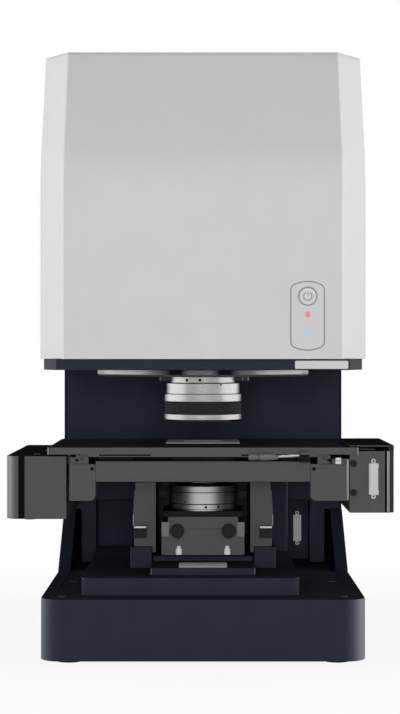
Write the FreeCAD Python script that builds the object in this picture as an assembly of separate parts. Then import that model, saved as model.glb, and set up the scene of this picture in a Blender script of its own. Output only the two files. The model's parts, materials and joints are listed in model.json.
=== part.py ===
import FreeCAD, Part
import math
import os

# Infrared microscope: a motorised stage and a reflecting objective under a covered optical head.
# Millimetres. x runs across, y from the front to the back, z up from the table.
# x = 0 is the optical axis, y = 0 the front of the base, z = 0 the table.

# Clearances
face_gap = 0.3
running_clearance = 0.05

# Feet and base
foot_height = 7.5
foot_radius = 15.0
foot_from_side = 26.0
foot_from_end = 51.5
foot_recess_radius = 4.0
foot_recess_depth = 2.5
foot_taper = 1.5
base_half_width = 161.0
base_depth = 540.0
base_top = 68.4
base_front_radius = 20.0
base_rear_radius = 6.0
base_side_wall = 14.0
base_end_wall = 5.0
base_cover_thickness = 3.0
base_floor_thickness = 2.5
base_ledge_width = 14.0
base_ledge_thickness = 5.0
base_screw_radius = 2.0
base_screw_head_radius = 3.8
base_screw_length = 7.0
base_screw_rows = (25.0, 141.0)
base_screw_from_seam = (6.0, 10.0)

# Pedestal on the base
pedestal_left = -121.7
pedestal_right = 96.5
pedestal_front = 27.7
pedestal_height = 18.0
pedestal_corner_radius = 9.0
step_half_width = 53.0
step_front = 50.0
step_height = 7.1
saddle_half_width = 52.0
saddle_front = 109.0
saddle_height = 5.5
saddle_depth = 130.0
slide_plate_half_width = 24.5
slide_plate_front = 53.0
slide_plate_depth = 31.0
slide_plate_thickness = 1.8
guide_block_width = 22.7
guide_block_height = 22.1
guide_block_depth = 137.0

# Lift tower, its rails and its screw
tower_left = -62.0
tower_front = 271.0
tower_height = 113.6
tower_wall = 3.0
tower_slot_half_width = 16.0
rail_offset = 45.0
rail_width = 10.0
rail_depth = 12.0
rail_above_pedestal = 5.6
rail_length = 98.0
lift_screw_radius = 4.0
lift_screw_behind_front = 24.0
lift_screw_motor_depth = 20.0
lift_motor_side = 42.0
lift_motor_height = 40.0
lift_collar_radius = 9.0
lift_collar_height = 10.0
lift_bearing_height = 9.0

# Column
column_front = 318.0
column_wall = 4.0
column_corner_radius = 3.0
recess_half_width = 124.0
recess_top = 141.0
recess_depth = 32.0
recess_wall = 3.0
gusset_front = 227.0
gusset_top = 131.0
side_slot_width = 6.0
side_slot_top = 130.0
rear_panel_thickness = 3.0
rear_panel_recess = 6.0
vent_slot_length = 60.0
vent_slot_width = 4.0
vent_slot_pitch = 10.0
vent_slot_count = 7
vent_column_offset = 75.0
vent_bottom = 200.0

# Side port for the beam from the spectrometer
beam_port_y = 430.0
beam_port_z = 190.0
beam_port_radius = 30.0
beam_wall_hole_radius = 32.0
beam_flange_radius = 50.0
beam_flange_thickness = 5.0
beam_bolt_circle = 84.0
beam_bolt_radius = 2.1
beam_bolt_count = 4
rear_connector_positions = (20.0, 80.0)
rear_connector_z = 110.0

# Head: base plate under the cover
head_bottom = 294.0
head_plate_thickness = 11.0
head_plate_overhang = 1.0
head_plate_chamfer_width = 16.0
head_plate_front = 20.0
head_plate_chamfer_depth = 43.0
light_hole_radius = 24.0
cable_hole_half_width = 60.0
cable_hole_depth = 40.0
cable_hole_behind_column = 40.0
cable_hole_corner = 12.0

# Head cover
cover_overhang = 3.0
cover_front = 18.0
cover_chamfer_width = 26.0
cover_chamfer_depth = 38.0
cover_top = 622.0
cover_wall = 3.5
cover_bend_start = 470.0
cover_bend_radius = 100.0
cover_lean = 28.0
cover_brow_radius = 12.0
cover_rear_radius = 16.0

# Control panel on the front cover
panel_from_side = 18.4
panel_width = 33.2
panel_bottom = 313.6
panel_top = 382.6
panel_film = 0.4
button_height = 367.3
button_radius = 9.2
button_travel = 1.5
button_proud = 1.2
button_cap_thickness = 4.2
button_stem_radius = 4.0
button_stem_length = 6.0
switch_wall = 2.5
lamp_heights = (349.3, 331.2)
lamp_radius = 2.6
lamp_length = 8.0
lamp_proud = 0.3

# Optical axis and the turret above the stage
axis_y = 120.0
turret_y = 192.0
turret_radius = 115.0
turret_bottom = 286.4
turret_thickness = 7.0
rim_bevel = 2.0
edge_bevel = 0.8
turret_port_count = 4
port_radius = 24.0
port_shoulder = 4.0
port_cap_radius = 30.0
port_cap_height = 1.0
port_cap_edge = 0.4
axle_radius = 12.0
axle_head_radius = 18.0
axle_head_height = 4.0

# Reflecting objective: outer radii and heights from the holder down
neck_radius = 33.6
neck_height = 6.5
barrel_radius = 38.1
barrel_height = 11.2
bore_top_drop = 2.24
flange_radius = 40.2
flange_height = 7.4
grip_radius = 40.0
grip_height = 12.9
grip_core_radius = 35.5
nose_radius = 40.2
nose_height = 7.4
nose_chamfer = 3.0
objective_bore = 30.0
objective_mouth = 26.0
mouth_thickness = 2.5
holder_left = 45.5
holder_right = 49.0
holder_half_depth = 12.0
holder_thickness = 4.7
holder_rib_width = 1.6
holder_rib_proud = 2.0
mirror_thickness = 8.0
mirror_curve_radius = 62.0
mirror_hole_radius = 8.0
mirror_rim = 1.5
small_mirror_radius = 9.0
small_mirror_thickness = 4.0
spider_ring_width = 2.5
spider_arm_width = 1.6
spider_arm_count = 3
spider_thickness = 2.5

# Stage: lifting part
upright_front = 112.0
upright_inner = 49.3
upright_outer_top = 70.8
upright_outer_shoulder = 71.8
upright_outer_knee = 73.1
upright_outer_foot = 72.0
upright_shoulder_height = 167.4
upright_knee_high = 144.7
upright_knee_low = 130.5
upright_leg_thickness = 3.7
upright_leg_drop = 6.2
upright_pocket_inset = 14.0
upright_pocket_foot = 10.0
upright_pocket_head = 8.0
upright_pocket_corner = 4.0
upright_web = 6.0
upright_leg_gap = 0.3
stop_block_left = 59.1
stop_block_right = 71.6
stop_block_bottom = 118.7
stop_block_height = 12.2
stop_block_proud = 10.0
stage_floor_bottom = 176.0
stage_floor_thickness = 5.0
stage_floor_half_width = 104.0
stage_floor_front = 116.5
arm_bracket_from_rear = 38.0
arm_bracket_depth = 34.0
arm_bracket_overlap = 10.0
condenser_notch_radius = 52.0
crosshead_gap = 9.0
crosshead_depth = 12.0
crosshead_half_width = 73.0
carriage_half_width = 12.0
carriage_depth = 6.7
carriage_end_gap = 4.0
nut_bracket_half_width = 14.0
nut_bracket_bottom = 128.0
nut_bracket_height = 16.0
nut_bracket_corner = 6.0
nut_bracket_rear_share = 0.75
lift_travel = 18.0
y_rail_offset = 89.0
y_rail_width = 10.0
y_rail_height = 7.0
y_carriage_front = 120.0
y_carriage_depth = 28.0

# Stage: frame that travels to the front and back
frame_front = 24.3
frame_bottom = 182.5
frame_top = 203.2
beam_half_length = 107.0
beam_margin = 4.0
front_beam_depth = 36.0
rear_beam_front = 168.0
frame_rear = 188.0
end_plate_depth = 12.0
end_plate_bottom = 163.5
end_plate_top = 200.5
end_relief_depth = 30.0
end_plate_corner = 6.0
left_end_outer = 133.4
right_end_outer = 144.9
side_member_bottom = 186.0
side_member_rear = 178.0
rail_clip_inner = 114.0
rail_clip_outer = 127.0
rail_clip_height = 9.4
rail_clip_depth = 14.0
x_rail_half_length = 105.0
x_rail_width = 10.0
x_rail_height = 4.8
front_rail_y = 41.0
y_travel = 25.0

# Stage: plate that travels left and right
plate_half_width = 154.3
apron_front = 16.0
apron_thickness = 8.0
plate_rear = 200.0
plate_top = 217.2
plate_thickness = 3.2
apron_middle_half_width = 115.0
apron_middle_drop = 9.4
apron_end_drop = 7.0
apron_slot_drop = 7.0
apron_slot_height = 1.2
apron_slot_depth = 2.0
apron_slots = ((-103.0, -52.0), (38.0, 95.0))
insert_radius = 70.0
insert_lip = 3.0
insert_lip_thickness = 1.4
insert_window_corner = 3.0
slide_window_corner = 2.0
holder_plate_corner = 1.5
insert_window_half_width = 32.0
insert_window_half_depth = 24.0
holder_plate_half_width = 38.0
holder_plate_half_depth = 30.0
holder_plate_thickness = 1.6
slide_window_half_width = 20.0
slide_window_half_depth = 9.0
x_carriage_offset = 50.0
x_carriage_half_length = 20.0
x_carriage_half_width = 9.0

# Sample lever in front of the apron
lever_pivot_x = 100.0
lever_pivot_y = 9.0
lever_eye_radius = 5.0
lever_eye_height = 5.0
lever_below_plate_top = 9.2
lever_lug_corner = 4.0
lever_web_depth = 1.2
lever_shank_half_height = 1.6
lever_pin_radius = 2.0
lever_shank_end = 74.6
lever_grip_start = 56.3
lever_grip_end = 45.0
lever_groove_width = 3.8
lever_grip_half_width = 4.2
lever_grip_half_height = 3.5
lever_shank_half_width = 2.0
lever_ear_thickness = 2.4

# Drive boxes
left_box_outer = 196.6
left_box_inner = 136.2
left_box_front = 24.0
left_box_depth = 219.0
left_box_bottom = 145.5
left_box_top = 208.3
left_box_radius = 14.0
left_groove_centre = 180.9
left_groove_width = 6.0
left_groove_depth = 1.5
box_wall = 2.0
right_box_inner = 146.2
right_box_outer = 190.8
right_box_front = 26.0
right_box_depth = 152.0
right_box_bottom = 151.6
right_box_rim = 213.2
right_lid_bottom = 217.6
right_lid_thickness = 1.2
right_box_corner = 4.8
stage_motor_side = 30.0
stage_motor_length = 36.0
motor_corner = 3.0
stage_screw_radius = 3.0
y_screw_x = -168.0
y_screw_height = 190.0
y_screw_front = 60.0
y_bearing_half_width = 7.0
y_bearing_depth = 8.0
nut_arm_front = 110.0
nut_arm_depth = 12.0
nut_arm_half_height = 6.0
x_screw_y = 160.0
x_screw_height = 193.0
x_nut_x = -70.0
x_nut_half_width = 5.0
x_nut_half_depth = 5.0
x_nut_below_screw = 4.5

# Condenser under the stage
condenser_front = 85.0
condenser_rear = 155.0
condenser_bottom = 102.8
condenser_shoulder = 136.9
condenser_top = 142.1
condenser_half_width = 42.7
condenser_neck_half_width = 36.0
condenser_light_radius = 12.0
condenser_plate_half_width = 42.0
condenser_plate_thickness = 5.9
condenser_ring_radius = 36.0
condenser_ring_height = 24.5
condenser_ring_gap = 1.2
condenser_ring_step = 2.0
condenser_shelf_thickness = 2.0
condenser_ring_bore = 30.0
condenser_mirror_foot_gap = 2.0
condenser_mirror_top_gap = 1.0
guide_pin_radius = 6.0
guide_pin_offset = 24.0
guide_pin_y = 138.0
guide_pin_length = 34.0
focus_down = 3.0
side_screw_radius = 5.0
side_screw_neck_radius = 2.0
side_screw_neck_length = 2.0
side_screw_length = 9.5
side_screw_height = 163.0
tab_inner = 35.0
tab_bottom = 122.0
tab_thickness = 2.0
stud_offset = 25.0
stud_radius = 3.3
stud_tip_radius = 2.0
stud_bottom = 103.5
stud_body_height = 6.0
stud_height = 8.9
knob_offset = 26.5
knob_height = 127.9
knob_radius = 7.2
knob_length = 7.0
knob_shaft_radius = 2.5
knob_shaft_length = 12.0

# Connectors, after the common 25-way D shape
connector_width = 9.5
connector_length = 31.0
connector_ear_length = 39.8
connector_ear_width = 4.6
connector_ear_thickness = 1.0
connector_proud = 5.0
connector_ear_hole = 1.1
connector_ear_pitch = 35.4
connector_rim = 1.5
connector_taper = 1.2
base_connector_x = 111.0
base_connector_z = 105.0
stage_connector_x = 170.0
stage_connector_z = 185.5
plug_x = 134.7
plug_width = 5.6
plug_height = 6.4
plug_depth = 9.0
plug_wall = 1.1
plug_pocket_depth = 3.0

# Power inlet and mains switch on the rear panel
inlet_from_side = 51.0
inlet_z = 110.0
inlet_half_width = 24.0
inlet_half_height = 15.5
socket_half_width = 12.0
socket_half_height = 8.0
socket_depth = 14.0
inlet_depth = 22.0
switch_from_inlet = 60.0
switch_half_width = 13.0
switch_half_height = 9.5
rocker_half_width = 10.5
rocker_half_height = 6.5
rocker_depth_behind = 4.0
rocker_depth_ahead = 4.6
rocker_valley_depth = 3.0
rocker_taper = 2.0
rocker_lip = 0.4
rocker_corner = 0.6
rocker_pin_radius = 1.5
rocker_inset = 6.0

# Units inside the head, the column and the base
optics_wall_thickness = 10.0
optics_wall_front = 160.0
optics_wall_rear = 500.0
optics_wall_height = 230.0
optics_window_count = 3
optics_window_margin = 50.0
optics_window_pitch = 95.0
optics_window_length = 60.0
optics_window_height = 100.0
optics_window_bottom = 70.0
optics_window_corner = 15.0
optics_front_corner = 60.0
optics_rear_corner = 20.0
aperture_half_width = 40.0
aperture_bottom_gap = 60.0
aperture_height = 26.0
aperture_hole_radius = 10.0
aperture_corner = 6.0
aperture_leg_radius = 5.0
aperture_leg_inset = 8.0
aperture_slot_half_width = 9.0
aperture_slot_height = 10.0
aperture_slot_depth = 14.0
camera_half_width = 24.0
camera_height = 58.0
camera_lens_radius = 16.0
camera_lens_length = 30.0
camera_lens_wall = 3.0
camera_corner = 3.0
dewar_radius = 35.0
dewar_height = 170.0
dewar_x = 75.0
dewar_y = 420.0
dewar_neck_radius = 14.0
dewar_neck_height = 30.0
dewar_neck_wall = 3.0
dewar_flange_width = 6.0
dewar_flange_thickness = 5.0
dewar_shoulder_drop = 12.0
dewar_well_bottom = 30.0
relay_half_width = 20.0
relay_half_depth = 30.0
relay_base_thickness = 8.0
relay_mirror_height = 39.0
relay_mirror_half_thickness = 5.0
relay_lean = 14.0
relay_x = -55.0
relay_front_y = 230.0
relay_rear_y = 400.0
board_half_width = 110.0
board_height = 120.0
board_thickness = 2.0
board_stand_off = 10.0
board_stand_off_radius = 3.0
board_above_base = 20.0
board_pillar_inset = 10.0
board_chip_count = 4
board_first_chip = -70.0
board_chip_pitch = 42.0
board_chip_size = 18.0
board_chip_thickness = 4.0
board_chip_bottom = 30.0
supply_half_width = 70.0
supply_depth = 90.0
supply_height = 60.0
supply_x = -60.0
supply_behind_gap = 16.0
supply_corner = 2.0
supply_slot_count = 6
supply_slot_margin = 17.0
supply_slot_pitch = 18.0
supply_slot_width = 5.0
supply_slot_depth = 3.0

across = FreeCAD.Vector(1, 0, 0)
back = FreeCAD.Vector(0, 1, 0)
up = FreeCAD.Vector(0, 0, 1)


def point(x, y, z):
    return FreeCAD.Vector(x, y, z)


def block(x, y, z):
    # each argument is a pair: the low side and the high side
    low = point(min(x), min(y), min(z))
    return Part.makeBox(abs(x[1] - x[0]), abs(y[1] - y[0]), abs(z[1] - z[0]), low)


def rod(radius, length, start, direction=up):
    return Part.makeCylinder(radius, length, start, direction)


def pipe(outer, inner, length, start, direction=up):
    return rod(outer, length, start, direction).cut(rod(inner, length, start, direction))


def rounded_wire(corners, place):
    # corners are (u, v) or (u, v, radius), in order round the outline
    starts = []
    middles = []
    ends = []
    count = len(corners)
    for index, corner in enumerate(corners):
        here = point(corner[0], corner[1], 0)
        before = corners[index - 1]
        after = corners[(index + 1) % count]
        to_before = (point(before[0], before[1], 0) - here).normalize()
        to_after = (point(after[0], after[1], 0) - here).normalize()
        radius = corner[2] if len(corner) > 2 else 0
        if radius == 0:
            starts.append(here)
            middles.append(None)
            ends.append(here)
            continue
        half_angle = to_before.getAngle(to_after) / 2
        reach = radius / math.tan(half_angle)
        inward = (to_before + to_after).normalize()
        starts.append(here + to_before * reach)
        middles.append(here + inward * (radius / math.sin(half_angle) - radius))
        ends.append(here + to_after * reach)
    edges = []
    for index in range(count):
        if middles[index] is not None:
            arc = Part.Arc(place(starts[index]), place(middles[index]), place(ends[index]))
            edges.append(arc.toShape())
        line_start = ends[index]
        line_end = starts[(index + 1) % count]
        if (line_end - line_start).Length > 1e-6:
            edges.append(Part.makeLine(place(line_start), place(line_end)))
    return Part.Wire(edges)


def slab(corners, low, high):
    # an outline in x and y, from one height to another
    wire = rounded_wire(corners, lambda p: point(p.x, p.y, low))
    return Part.Face(wire).extrude(point(0, 0, high - low))


def front_prism(corners, near, far):
    # an outline in x and z, from a near depth to a far one
    wire = rounded_wire(corners, lambda p: point(p.x, near, p.y))
    return Part.Face(wire).extrude(point(0, far - near, 0))


def side_prism(corners, left, right):
    # an outline in y and z, from one side to the other
    wire = rounded_wire(corners, lambda p: point(left, p.x, p.y))
    return Part.Face(wire).extrude(point(right - left, 0, 0))


def rectangle(u, v, radius=0.0):
    return [(u[0], v[0], radius), (u[1], v[0], radius), (u[1], v[1], radius), (u[0], v[1], radius)]


def turned(profile, x, y):
    # profile is a closed list of (radius, height) or (radius, height, corner radius)
    wire = rounded_wire(profile, lambda p: point(p.x, 0, p.y))
    solid = Part.Face(wire).revolve(point(0, 0, 0), up, 360)
    solid.translate(point(x, y, 0))
    return solid


def mirrored(shape):
    return shape.mirror(point(0, 0, 0), across)


def both_sides(shape):
    return [shape, mirrored(shape)]


def joined(shapes):
    first = shapes[0]
    if len(shapes) == 1:
        return first
    return first.fuse(shapes[1:]).removeSplitter()


def less(shape, tools):
    return shape.cut(tools).removeSplitter()


def group(shapes):
    return Part.makeCompound(shapes)


def arc_of(radius, centre, start_degrees, end_degrees):
    # points at the start, middle and end of an arc in a flat outline
    points = []
    for degrees in (start_degrees, (start_degrees + end_degrees) / 2, end_degrees):
        angle = math.radians(degrees)
        points.append((centre[0] + radius * math.cos(angle), centre[1] + radius * math.sin(angle)))
    return points


# Heights, depths and widths that several pieces share
head_plate_half_width = base_half_width + head_plate_overhang
head_plate_front_half_width = head_plate_half_width - head_plate_chamfer_width
cover_half_width = head_plate_half_width + cover_overhang
cover_front_half_width = cover_half_width - cover_chamfer_width
panel_right = cover_front_half_width - panel_from_side
panel_left = panel_right - panel_width
inlet_x = inlet_from_side - base_half_width
switch_x = inlet_x + switch_from_inlet
pedestal_top = base_top + pedestal_height
step_top = pedestal_top + step_height
saddle_top = step_top + saddle_height
guide_block_top = pedestal_top + guide_block_height
tower_top = pedestal_top + tower_height
screw_y = tower_front + lift_screw_behind_front
head_top_face = head_bottom + head_plate_thickness
panel_face = base_depth - rear_panel_recess
stage_floor_top = stage_floor_bottom + stage_floor_thickness
plate_bottom = plate_top - plate_thickness
lever_centre_height = plate_top - lever_below_plate_top
crosshead_rear = tower_front - crosshead_gap
crosshead_front = crosshead_rear - crosshead_depth
crosshead_bottom = guide_block_top + upright_leg_gap


def countersunk_screw(x, y, top, length, radius, head_radius):
    head = head_radius - radius
    profile = [(0, top), (head_radius, top), (radius, top - head), (radius, top - length), (0, top - length)]
    return turned(profile, x, y)


def hex_recess(x, y, top, radius, depth):
    corners = []
    for step in range(6):
        angle = math.radians(60 * step)
        corners.append((x + radius * math.cos(angle), y + radius * math.sin(angle)))
    return slab(corners, top - depth, top)


def seam_x():
    return base_half_width - base_side_wall


def base_screws():
    seam = seam_x()
    screws = []
    for row, inset in zip(base_screw_rows, base_screw_from_seam):
        screw = countersunk_screw(seam - inset, row, base_top, base_screw_length,
                                  base_screw_radius, base_screw_head_radius)
        screws.extend(both_sides(screw))
    return group(screws)


def base_socket_cuts():
    seam = seam_x()
    cuts = []
    for row, inset in zip(base_screw_rows, base_screw_from_seam):
        cut = hex_recess(seam - inset, row, base_top, base_screw_radius * 0.75, base_screw_radius * 0.6)
        cuts.extend(both_sides(cut))
    return cuts


def base_housing():
    # a cast tray: thick sides, thin ends and a ledge that carries the cover
    corners = [
        (-base_half_width, 0, base_front_radius),
        (base_half_width, 0, base_front_radius),
        (base_half_width, base_depth, base_rear_radius),
        (-base_half_width, base_depth, base_rear_radius),
    ]
    body = slab(corners, foot_height, base_top)
    seam = seam_x()
    inner = (-seam, seam)
    ends = (base_end_wall, base_depth - base_end_wall)
    inner_radius = base_front_radius - base_side_wall
    opening = slab(rectangle(inner, ends, inner_radius), base_top - base_cover_thickness, base_top)
    ledge_top = base_top - base_cover_thickness
    ledge_inner = (-seam + base_ledge_width, seam - base_ledge_width)
    ledge_ends = (ends[0] + base_ledge_width, ends[1] - base_ledge_width)
    ledge_outline = rectangle(ledge_inner, ledge_ends, inner_radius)
    ledge = slab(ledge_outline, ledge_top - base_ledge_thickness, ledge_top)
    cavity = slab(rectangle(inner, ends, inner_radius), foot_height, ledge_top - base_ledge_thickness)
    body = less(body, [opening, ledge, cavity])
    return body.cut(base_screws())


def base_cover():
    seam = seam_x()
    ends = (base_end_wall, base_depth - base_end_wall)
    inner_radius = base_front_radius - base_side_wall
    plate = slab(rectangle((-seam, seam), ends, inner_radius), base_top - base_cover_thickness, base_top)
    screw_hole = rod(lift_collar_radius, base_top, point(0, screw_y, 0))
    return plate.cut([base_screws(), screw_hole])


def base_floor():
    seam = seam_x()
    ends = (base_end_wall, base_depth - base_end_wall)
    inner_radius = base_front_radius - base_side_wall
    outline = rectangle((-seam, seam), ends, inner_radius)
    plate = slab(outline, foot_height, foot_height + base_floor_thickness)
    vents = []
    pitch = vent_slot_pitch * 2
    for number in range(vent_slot_count):
        y = base_depth / 2 + (number - (vent_slot_count - 1) / 2) * pitch
        half = vent_slot_width / 2
        slot = slab(rectangle((-vent_slot_length, vent_slot_length), (y - half, y + half)), 0, base_top / 2)
        vents.append(slot)
    return plate.cut(vents)


def feet():
    # moulded rubber, wider at the top, with a dished screw recess below
    profile = [
        (0, foot_recess_depth),
        (foot_recess_radius, foot_recess_depth),
        (foot_recess_radius, 0),
        (foot_radius - foot_taper, 0),
        (foot_radius, foot_height),
        (0, foot_height),
    ]
    x = base_half_width - foot_from_side
    pads = []
    for y in (foot_from_end, base_depth - foot_from_end):
        pads.extend(both_sides(turned(profile, x, y)))
    return group(pads)


def lift_motor():
    # a square motor hung under the base cover, hollow where the screw is clamped
    ledge_top = base_top - base_cover_thickness
    half = lift_motor_side / 2
    outline = rectangle((-half, half), (screw_y - half, screw_y + half), 4.0)
    body = slab(outline, ledge_top - lift_motor_height, ledge_top)
    bore_start = ledge_top - lift_screw_motor_depth - face_gap
    bore = rod(lift_screw_radius + running_clearance, lift_motor_height, point(0, screw_y, bore_start))
    return body.cut(bore)


def lift_screw():
    bottom = base_top - base_cover_thickness - lift_screw_motor_depth
    top = tower_top - tower_wall - face_gap
    shaft = rod(lift_screw_radius, top - bottom, point(0, screw_y, bottom))
    collar = rod(lift_collar_radius, lift_collar_height, point(0, screw_y, pedestal_top + face_gap))
    return joined([shaft, collar])


def lift_screw_bearing():
    top = tower_top - tower_wall
    start = point(0, screw_y, top - lift_bearing_height)
    return pipe(lift_collar_radius, lift_screw_radius + running_clearance, lift_bearing_height, start)


def pedestal():
    # the cast plinth with its raised step
    corners = [
        (pedestal_left, pedestal_front, pedestal_corner_radius),
        (pedestal_right, pedestal_front, pedestal_corner_radius),
        (pedestal_right, column_front),
        (pedestal_left, column_front),
    ]
    plinth = slab(corners, base_top, pedestal_top)
    step_rear = saddle_front + saddle_depth
    step_corners = [
        (-step_half_width, step_front, 3.0),
        (step_half_width, step_front, 3.0),
        (step_half_width, step_rear),
        (-step_half_width, step_rear),
    ]
    step = slab(step_corners, pedestal_top, step_top)
    screw_hole = rod(lift_screw_radius * 2, pedestal_height * 2, point(0, screw_y, base_top - 1))
    return joined([plinth, step]).cut(screw_hole)


def condenser_saddle():
    rear = saddle_front + saddle_depth
    corners = [
        (-saddle_half_width, saddle_front, 2.0),
        (saddle_half_width, saddle_front, 2.0),
        (saddle_half_width, rear, 2.0),
        (-saddle_half_width, rear, 2.0),
    ]
    return slab(corners, step_top, saddle_top)


def slide_plate():
    rear = slide_plate_front + slide_plate_depth
    outline = rectangle((-slide_plate_half_width, slide_plate_half_width), (slide_plate_front, rear), 1.5)
    return slab(outline, step_top, step_top + slide_plate_thickness)


def guide_blocks():
    inner = step_half_width + face_gap
    outer = inner + guide_block_width
    rear = saddle_front + guide_block_depth
    corners = [
        (inner, saddle_front, 1.0),
        (outer, saddle_front, 2.5),
        (outer, rear, 2.5),
        (inner, rear, 1.0),
    ]
    return group(both_sides(slab(corners, pedestal_top, guide_block_top)))


def tower():
    # a folded casing round the lift screw, open towards the column
    corners = [
        (tower_left, tower_front, 4.0),
        (pedestal_right, tower_front, 4.0),
        (pedestal_right, column_front),
        (tower_left, column_front),
    ]
    shell = slab(corners, pedestal_top, tower_top)
    inner_corners = [
        (tower_left + tower_wall, tower_front + tower_wall, 1.0),
        (pedestal_right - tower_wall, tower_front + tower_wall, 1.0),
        (pedestal_right - tower_wall, column_front + 1),
        (tower_left + tower_wall, column_front + 1),
    ]
    cavity = slab(inner_corners, pedestal_top, tower_top - tower_wall)
    slot_low = nut_bracket_bottom - 6.0
    slot_high = nut_bracket_bottom + nut_bracket_height + lift_travel + 6.0
    outline = rectangle((-tower_slot_half_width, tower_slot_half_width), (slot_low, slot_high), 5.0)
    slot = front_prism(outline, tower_front - 1, tower_front + tower_wall + 1)
    return less(shell, [cavity, slot])


def lift_rails():
    bottom = pedestal_top + rail_above_pedestal
    half = rail_width / 2
    side = (rail_offset - half, rail_offset + half)
    rail = block(side, (tower_front - rail_depth, tower_front), (bottom, bottom + rail_length))
    return group(both_sides(rail.makeChamfer(1.0, upright_edges(rail))))


def upright_edges(shape):
    # the edges of a solid that run up and down
    chosen = []
    for edge in shape.Edges:
        direction = edge.Vertexes[-1].Point - edge.Vertexes[0].Point
        if direction.Length > 1e-6 and abs(direction.normalize().z) > 0.999:
            chosen.append(edge)
    return chosen


def column_shell():
    # front and side walls, with a lower recess that the pedestal runs up to
    corners = [
        (-base_half_width, column_front, column_corner_radius),
        (base_half_width, column_front, column_corner_radius),
        (base_half_width, base_depth),
        (-base_half_width, base_depth),
    ]
    body = slab(corners, base_top, head_bottom)
    inner_half = base_half_width - column_wall
    inside_front = column_front + column_wall
    cavity = block((-inner_half, inner_half), (inside_front, base_depth + 1), (base_top - 1, head_bottom + 1))
    walls = body.cut(cavity)
    recess_rear = column_front + recess_depth
    outer = (recess_half_width + recess_wall)
    pocket = block((-outer, outer), (inside_front, recess_rear + recess_wall),
                   (base_top, recess_top + recess_wall))
    hollow_outline = [
        (-recess_half_width, base_top - 1),
        (recess_half_width, base_top - 1),
        (recess_half_width, recess_top, 2.0),
        (-recess_half_width, recess_top, 2.0),
    ]
    hollow = front_prism(hollow_outline, column_front - 1, recess_rear)
    walls = joined([walls, pocket]).cut(hollow)
    cuts = [beam_port_opening()]
    slot_inner = seam_x() - side_slot_width
    slot_outline = [
        (slot_inner, base_top - 1),
        (seam_x(), base_top - 1),
        (seam_x(), side_slot_top, side_slot_width * 0.45),
        (slot_inner, side_slot_top, side_slot_width * 0.45),
    ]
    cuts.extend(both_sides(front_prism(slot_outline, column_front - 1, inside_front + 1)))
    cuts.append(connector_hole(base_connector_x, recess_rear, recess_rear + recess_wall, base_connector_z))
    return walls.cut(cuts)


def beam_port_opening():
    start = point(-base_half_width - beam_flange_thickness - 1, beam_port_y, beam_port_z)
    return rod(beam_wall_hole_radius, column_wall + beam_flange_thickness + 2, start, across)


def beam_port_flange():
    start = point(-base_half_width - beam_flange_thickness, beam_port_y, beam_port_z)
    ring = pipe(beam_flange_radius, beam_port_radius, beam_flange_thickness, start, across)
    holes = []
    for number in range(beam_bolt_count):
        angle = math.radians(360 / beam_bolt_count * (number + 0.5))
        offset = point(0, math.cos(angle), math.sin(angle)) * (beam_bolt_circle / 2)
        holes.append(rod(beam_bolt_radius, beam_flange_thickness, start + offset, across))
    return ring.cut(holes)


def gussets():
    # flared cheeks between the base sides and the column
    outline = [
        (gusset_front, base_top),
        (column_front, base_top),
        (column_front, gusset_top),
        (column_front - column_corner_radius, gusset_top, 1.0),
    ]
    return group(both_sides(side_prism(outline, seam_x(), base_half_width)))


def vent_slots():
    slots = []
    for side in (-1, 1):
        for number in range(vent_slot_count):
            low = vent_bottom + number * vent_slot_pitch
            middle = side * vent_column_offset
            half = vent_slot_length / 2
            outline = rectangle((middle - half, middle + half), (low, low + vent_slot_width))
            slots.append(front_prism(outline, panel_face - rear_panel_thickness - 1, panel_face + 1))
    return slots


def rear_panel():
    half = base_half_width - column_wall
    front = panel_face - rear_panel_thickness
    panel = block((-half, half), (front, panel_face), (base_top, head_bottom))
    cuts = vent_slots()
    cuts.append(inlet_body())
    cuts.append(switch_frame_outer())
    for x in rear_connector_positions:
        cuts.append(connector_hole(x, front - 1, panel_face + 1, rear_connector_z))
    return panel.cut(cuts)


def connector_hole(x, near, far, z):
    half_width = connector_width / 2
    half_length = connector_length / 2
    outline = rectangle((x - half_width, x + half_width), (z - half_length, z + half_length))
    return front_prism(outline, near - 1, far + 1)


def upright_connector(x, face, z, facing=-1):
    # a D-shaped shell on an eared flange, set upright; face is the panel's outer side
    half_width = connector_width / 2
    half_length = connector_length / 2
    ear_half = connector_ear_length / 2
    ear_width = connector_ear_width / 2
    corner = ear_width / 2
    flange_outline = [
        (x - ear_width + corner, z - ear_half),
        (x + ear_width - corner, z - ear_half),
        (x + ear_width, z - ear_half + corner),
        (x + ear_width, z + ear_half - corner),
        (x + ear_width - corner, z + ear_half),
        (x - ear_width + corner, z + ear_half),
        (x - ear_width, z + ear_half - corner),
        (x - ear_width, z - ear_half + corner),
    ]
    outer = face + facing * connector_ear_thickness
    flange = front_prism(flange_outline, min(face, outer), max(face, outer))
    tip = face + facing * connector_proud
    body_outline = rectangle((x - half_width, x + half_width), (z - half_length, z + half_length))
    inner_end = face - facing * recess_wall
    body = front_prism(body_outline, min(tip, inner_end), max(tip, inner_end))
    taper = connector_taper
    rim = connector_rim
    mouth_outline = [
        (x - half_width + rim, z - half_length + rim),
        (x + half_width - rim, z - half_length + rim + taper),
        (x + half_width - rim, z + half_length - rim - taper),
        (x - half_width + rim, z + half_length - rim),
    ]
    floor = face + facing * connector_ear_thickness
    mouth = front_prism(mouth_outline, min(tip, floor), max(tip, floor))
    shell = joined([flange, body]).cut(mouth)
    holes = []
    for end in (-1, 1):
        start = point(x, min(face, outer) - 1, z + end * connector_ear_pitch / 2)
        holes.append(rod(connector_ear_hole, connector_ear_thickness + 2, start, back))
    return shell.cut(holes)


def inlet_body():
    outline = rectangle((inlet_x - inlet_half_width + 3, inlet_x + inlet_half_width - 3),
                        (inlet_z - inlet_half_height + 2, inlet_z + inlet_half_height - 2))
    return front_prism(outline, panel_face - inlet_depth, panel_face)


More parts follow.
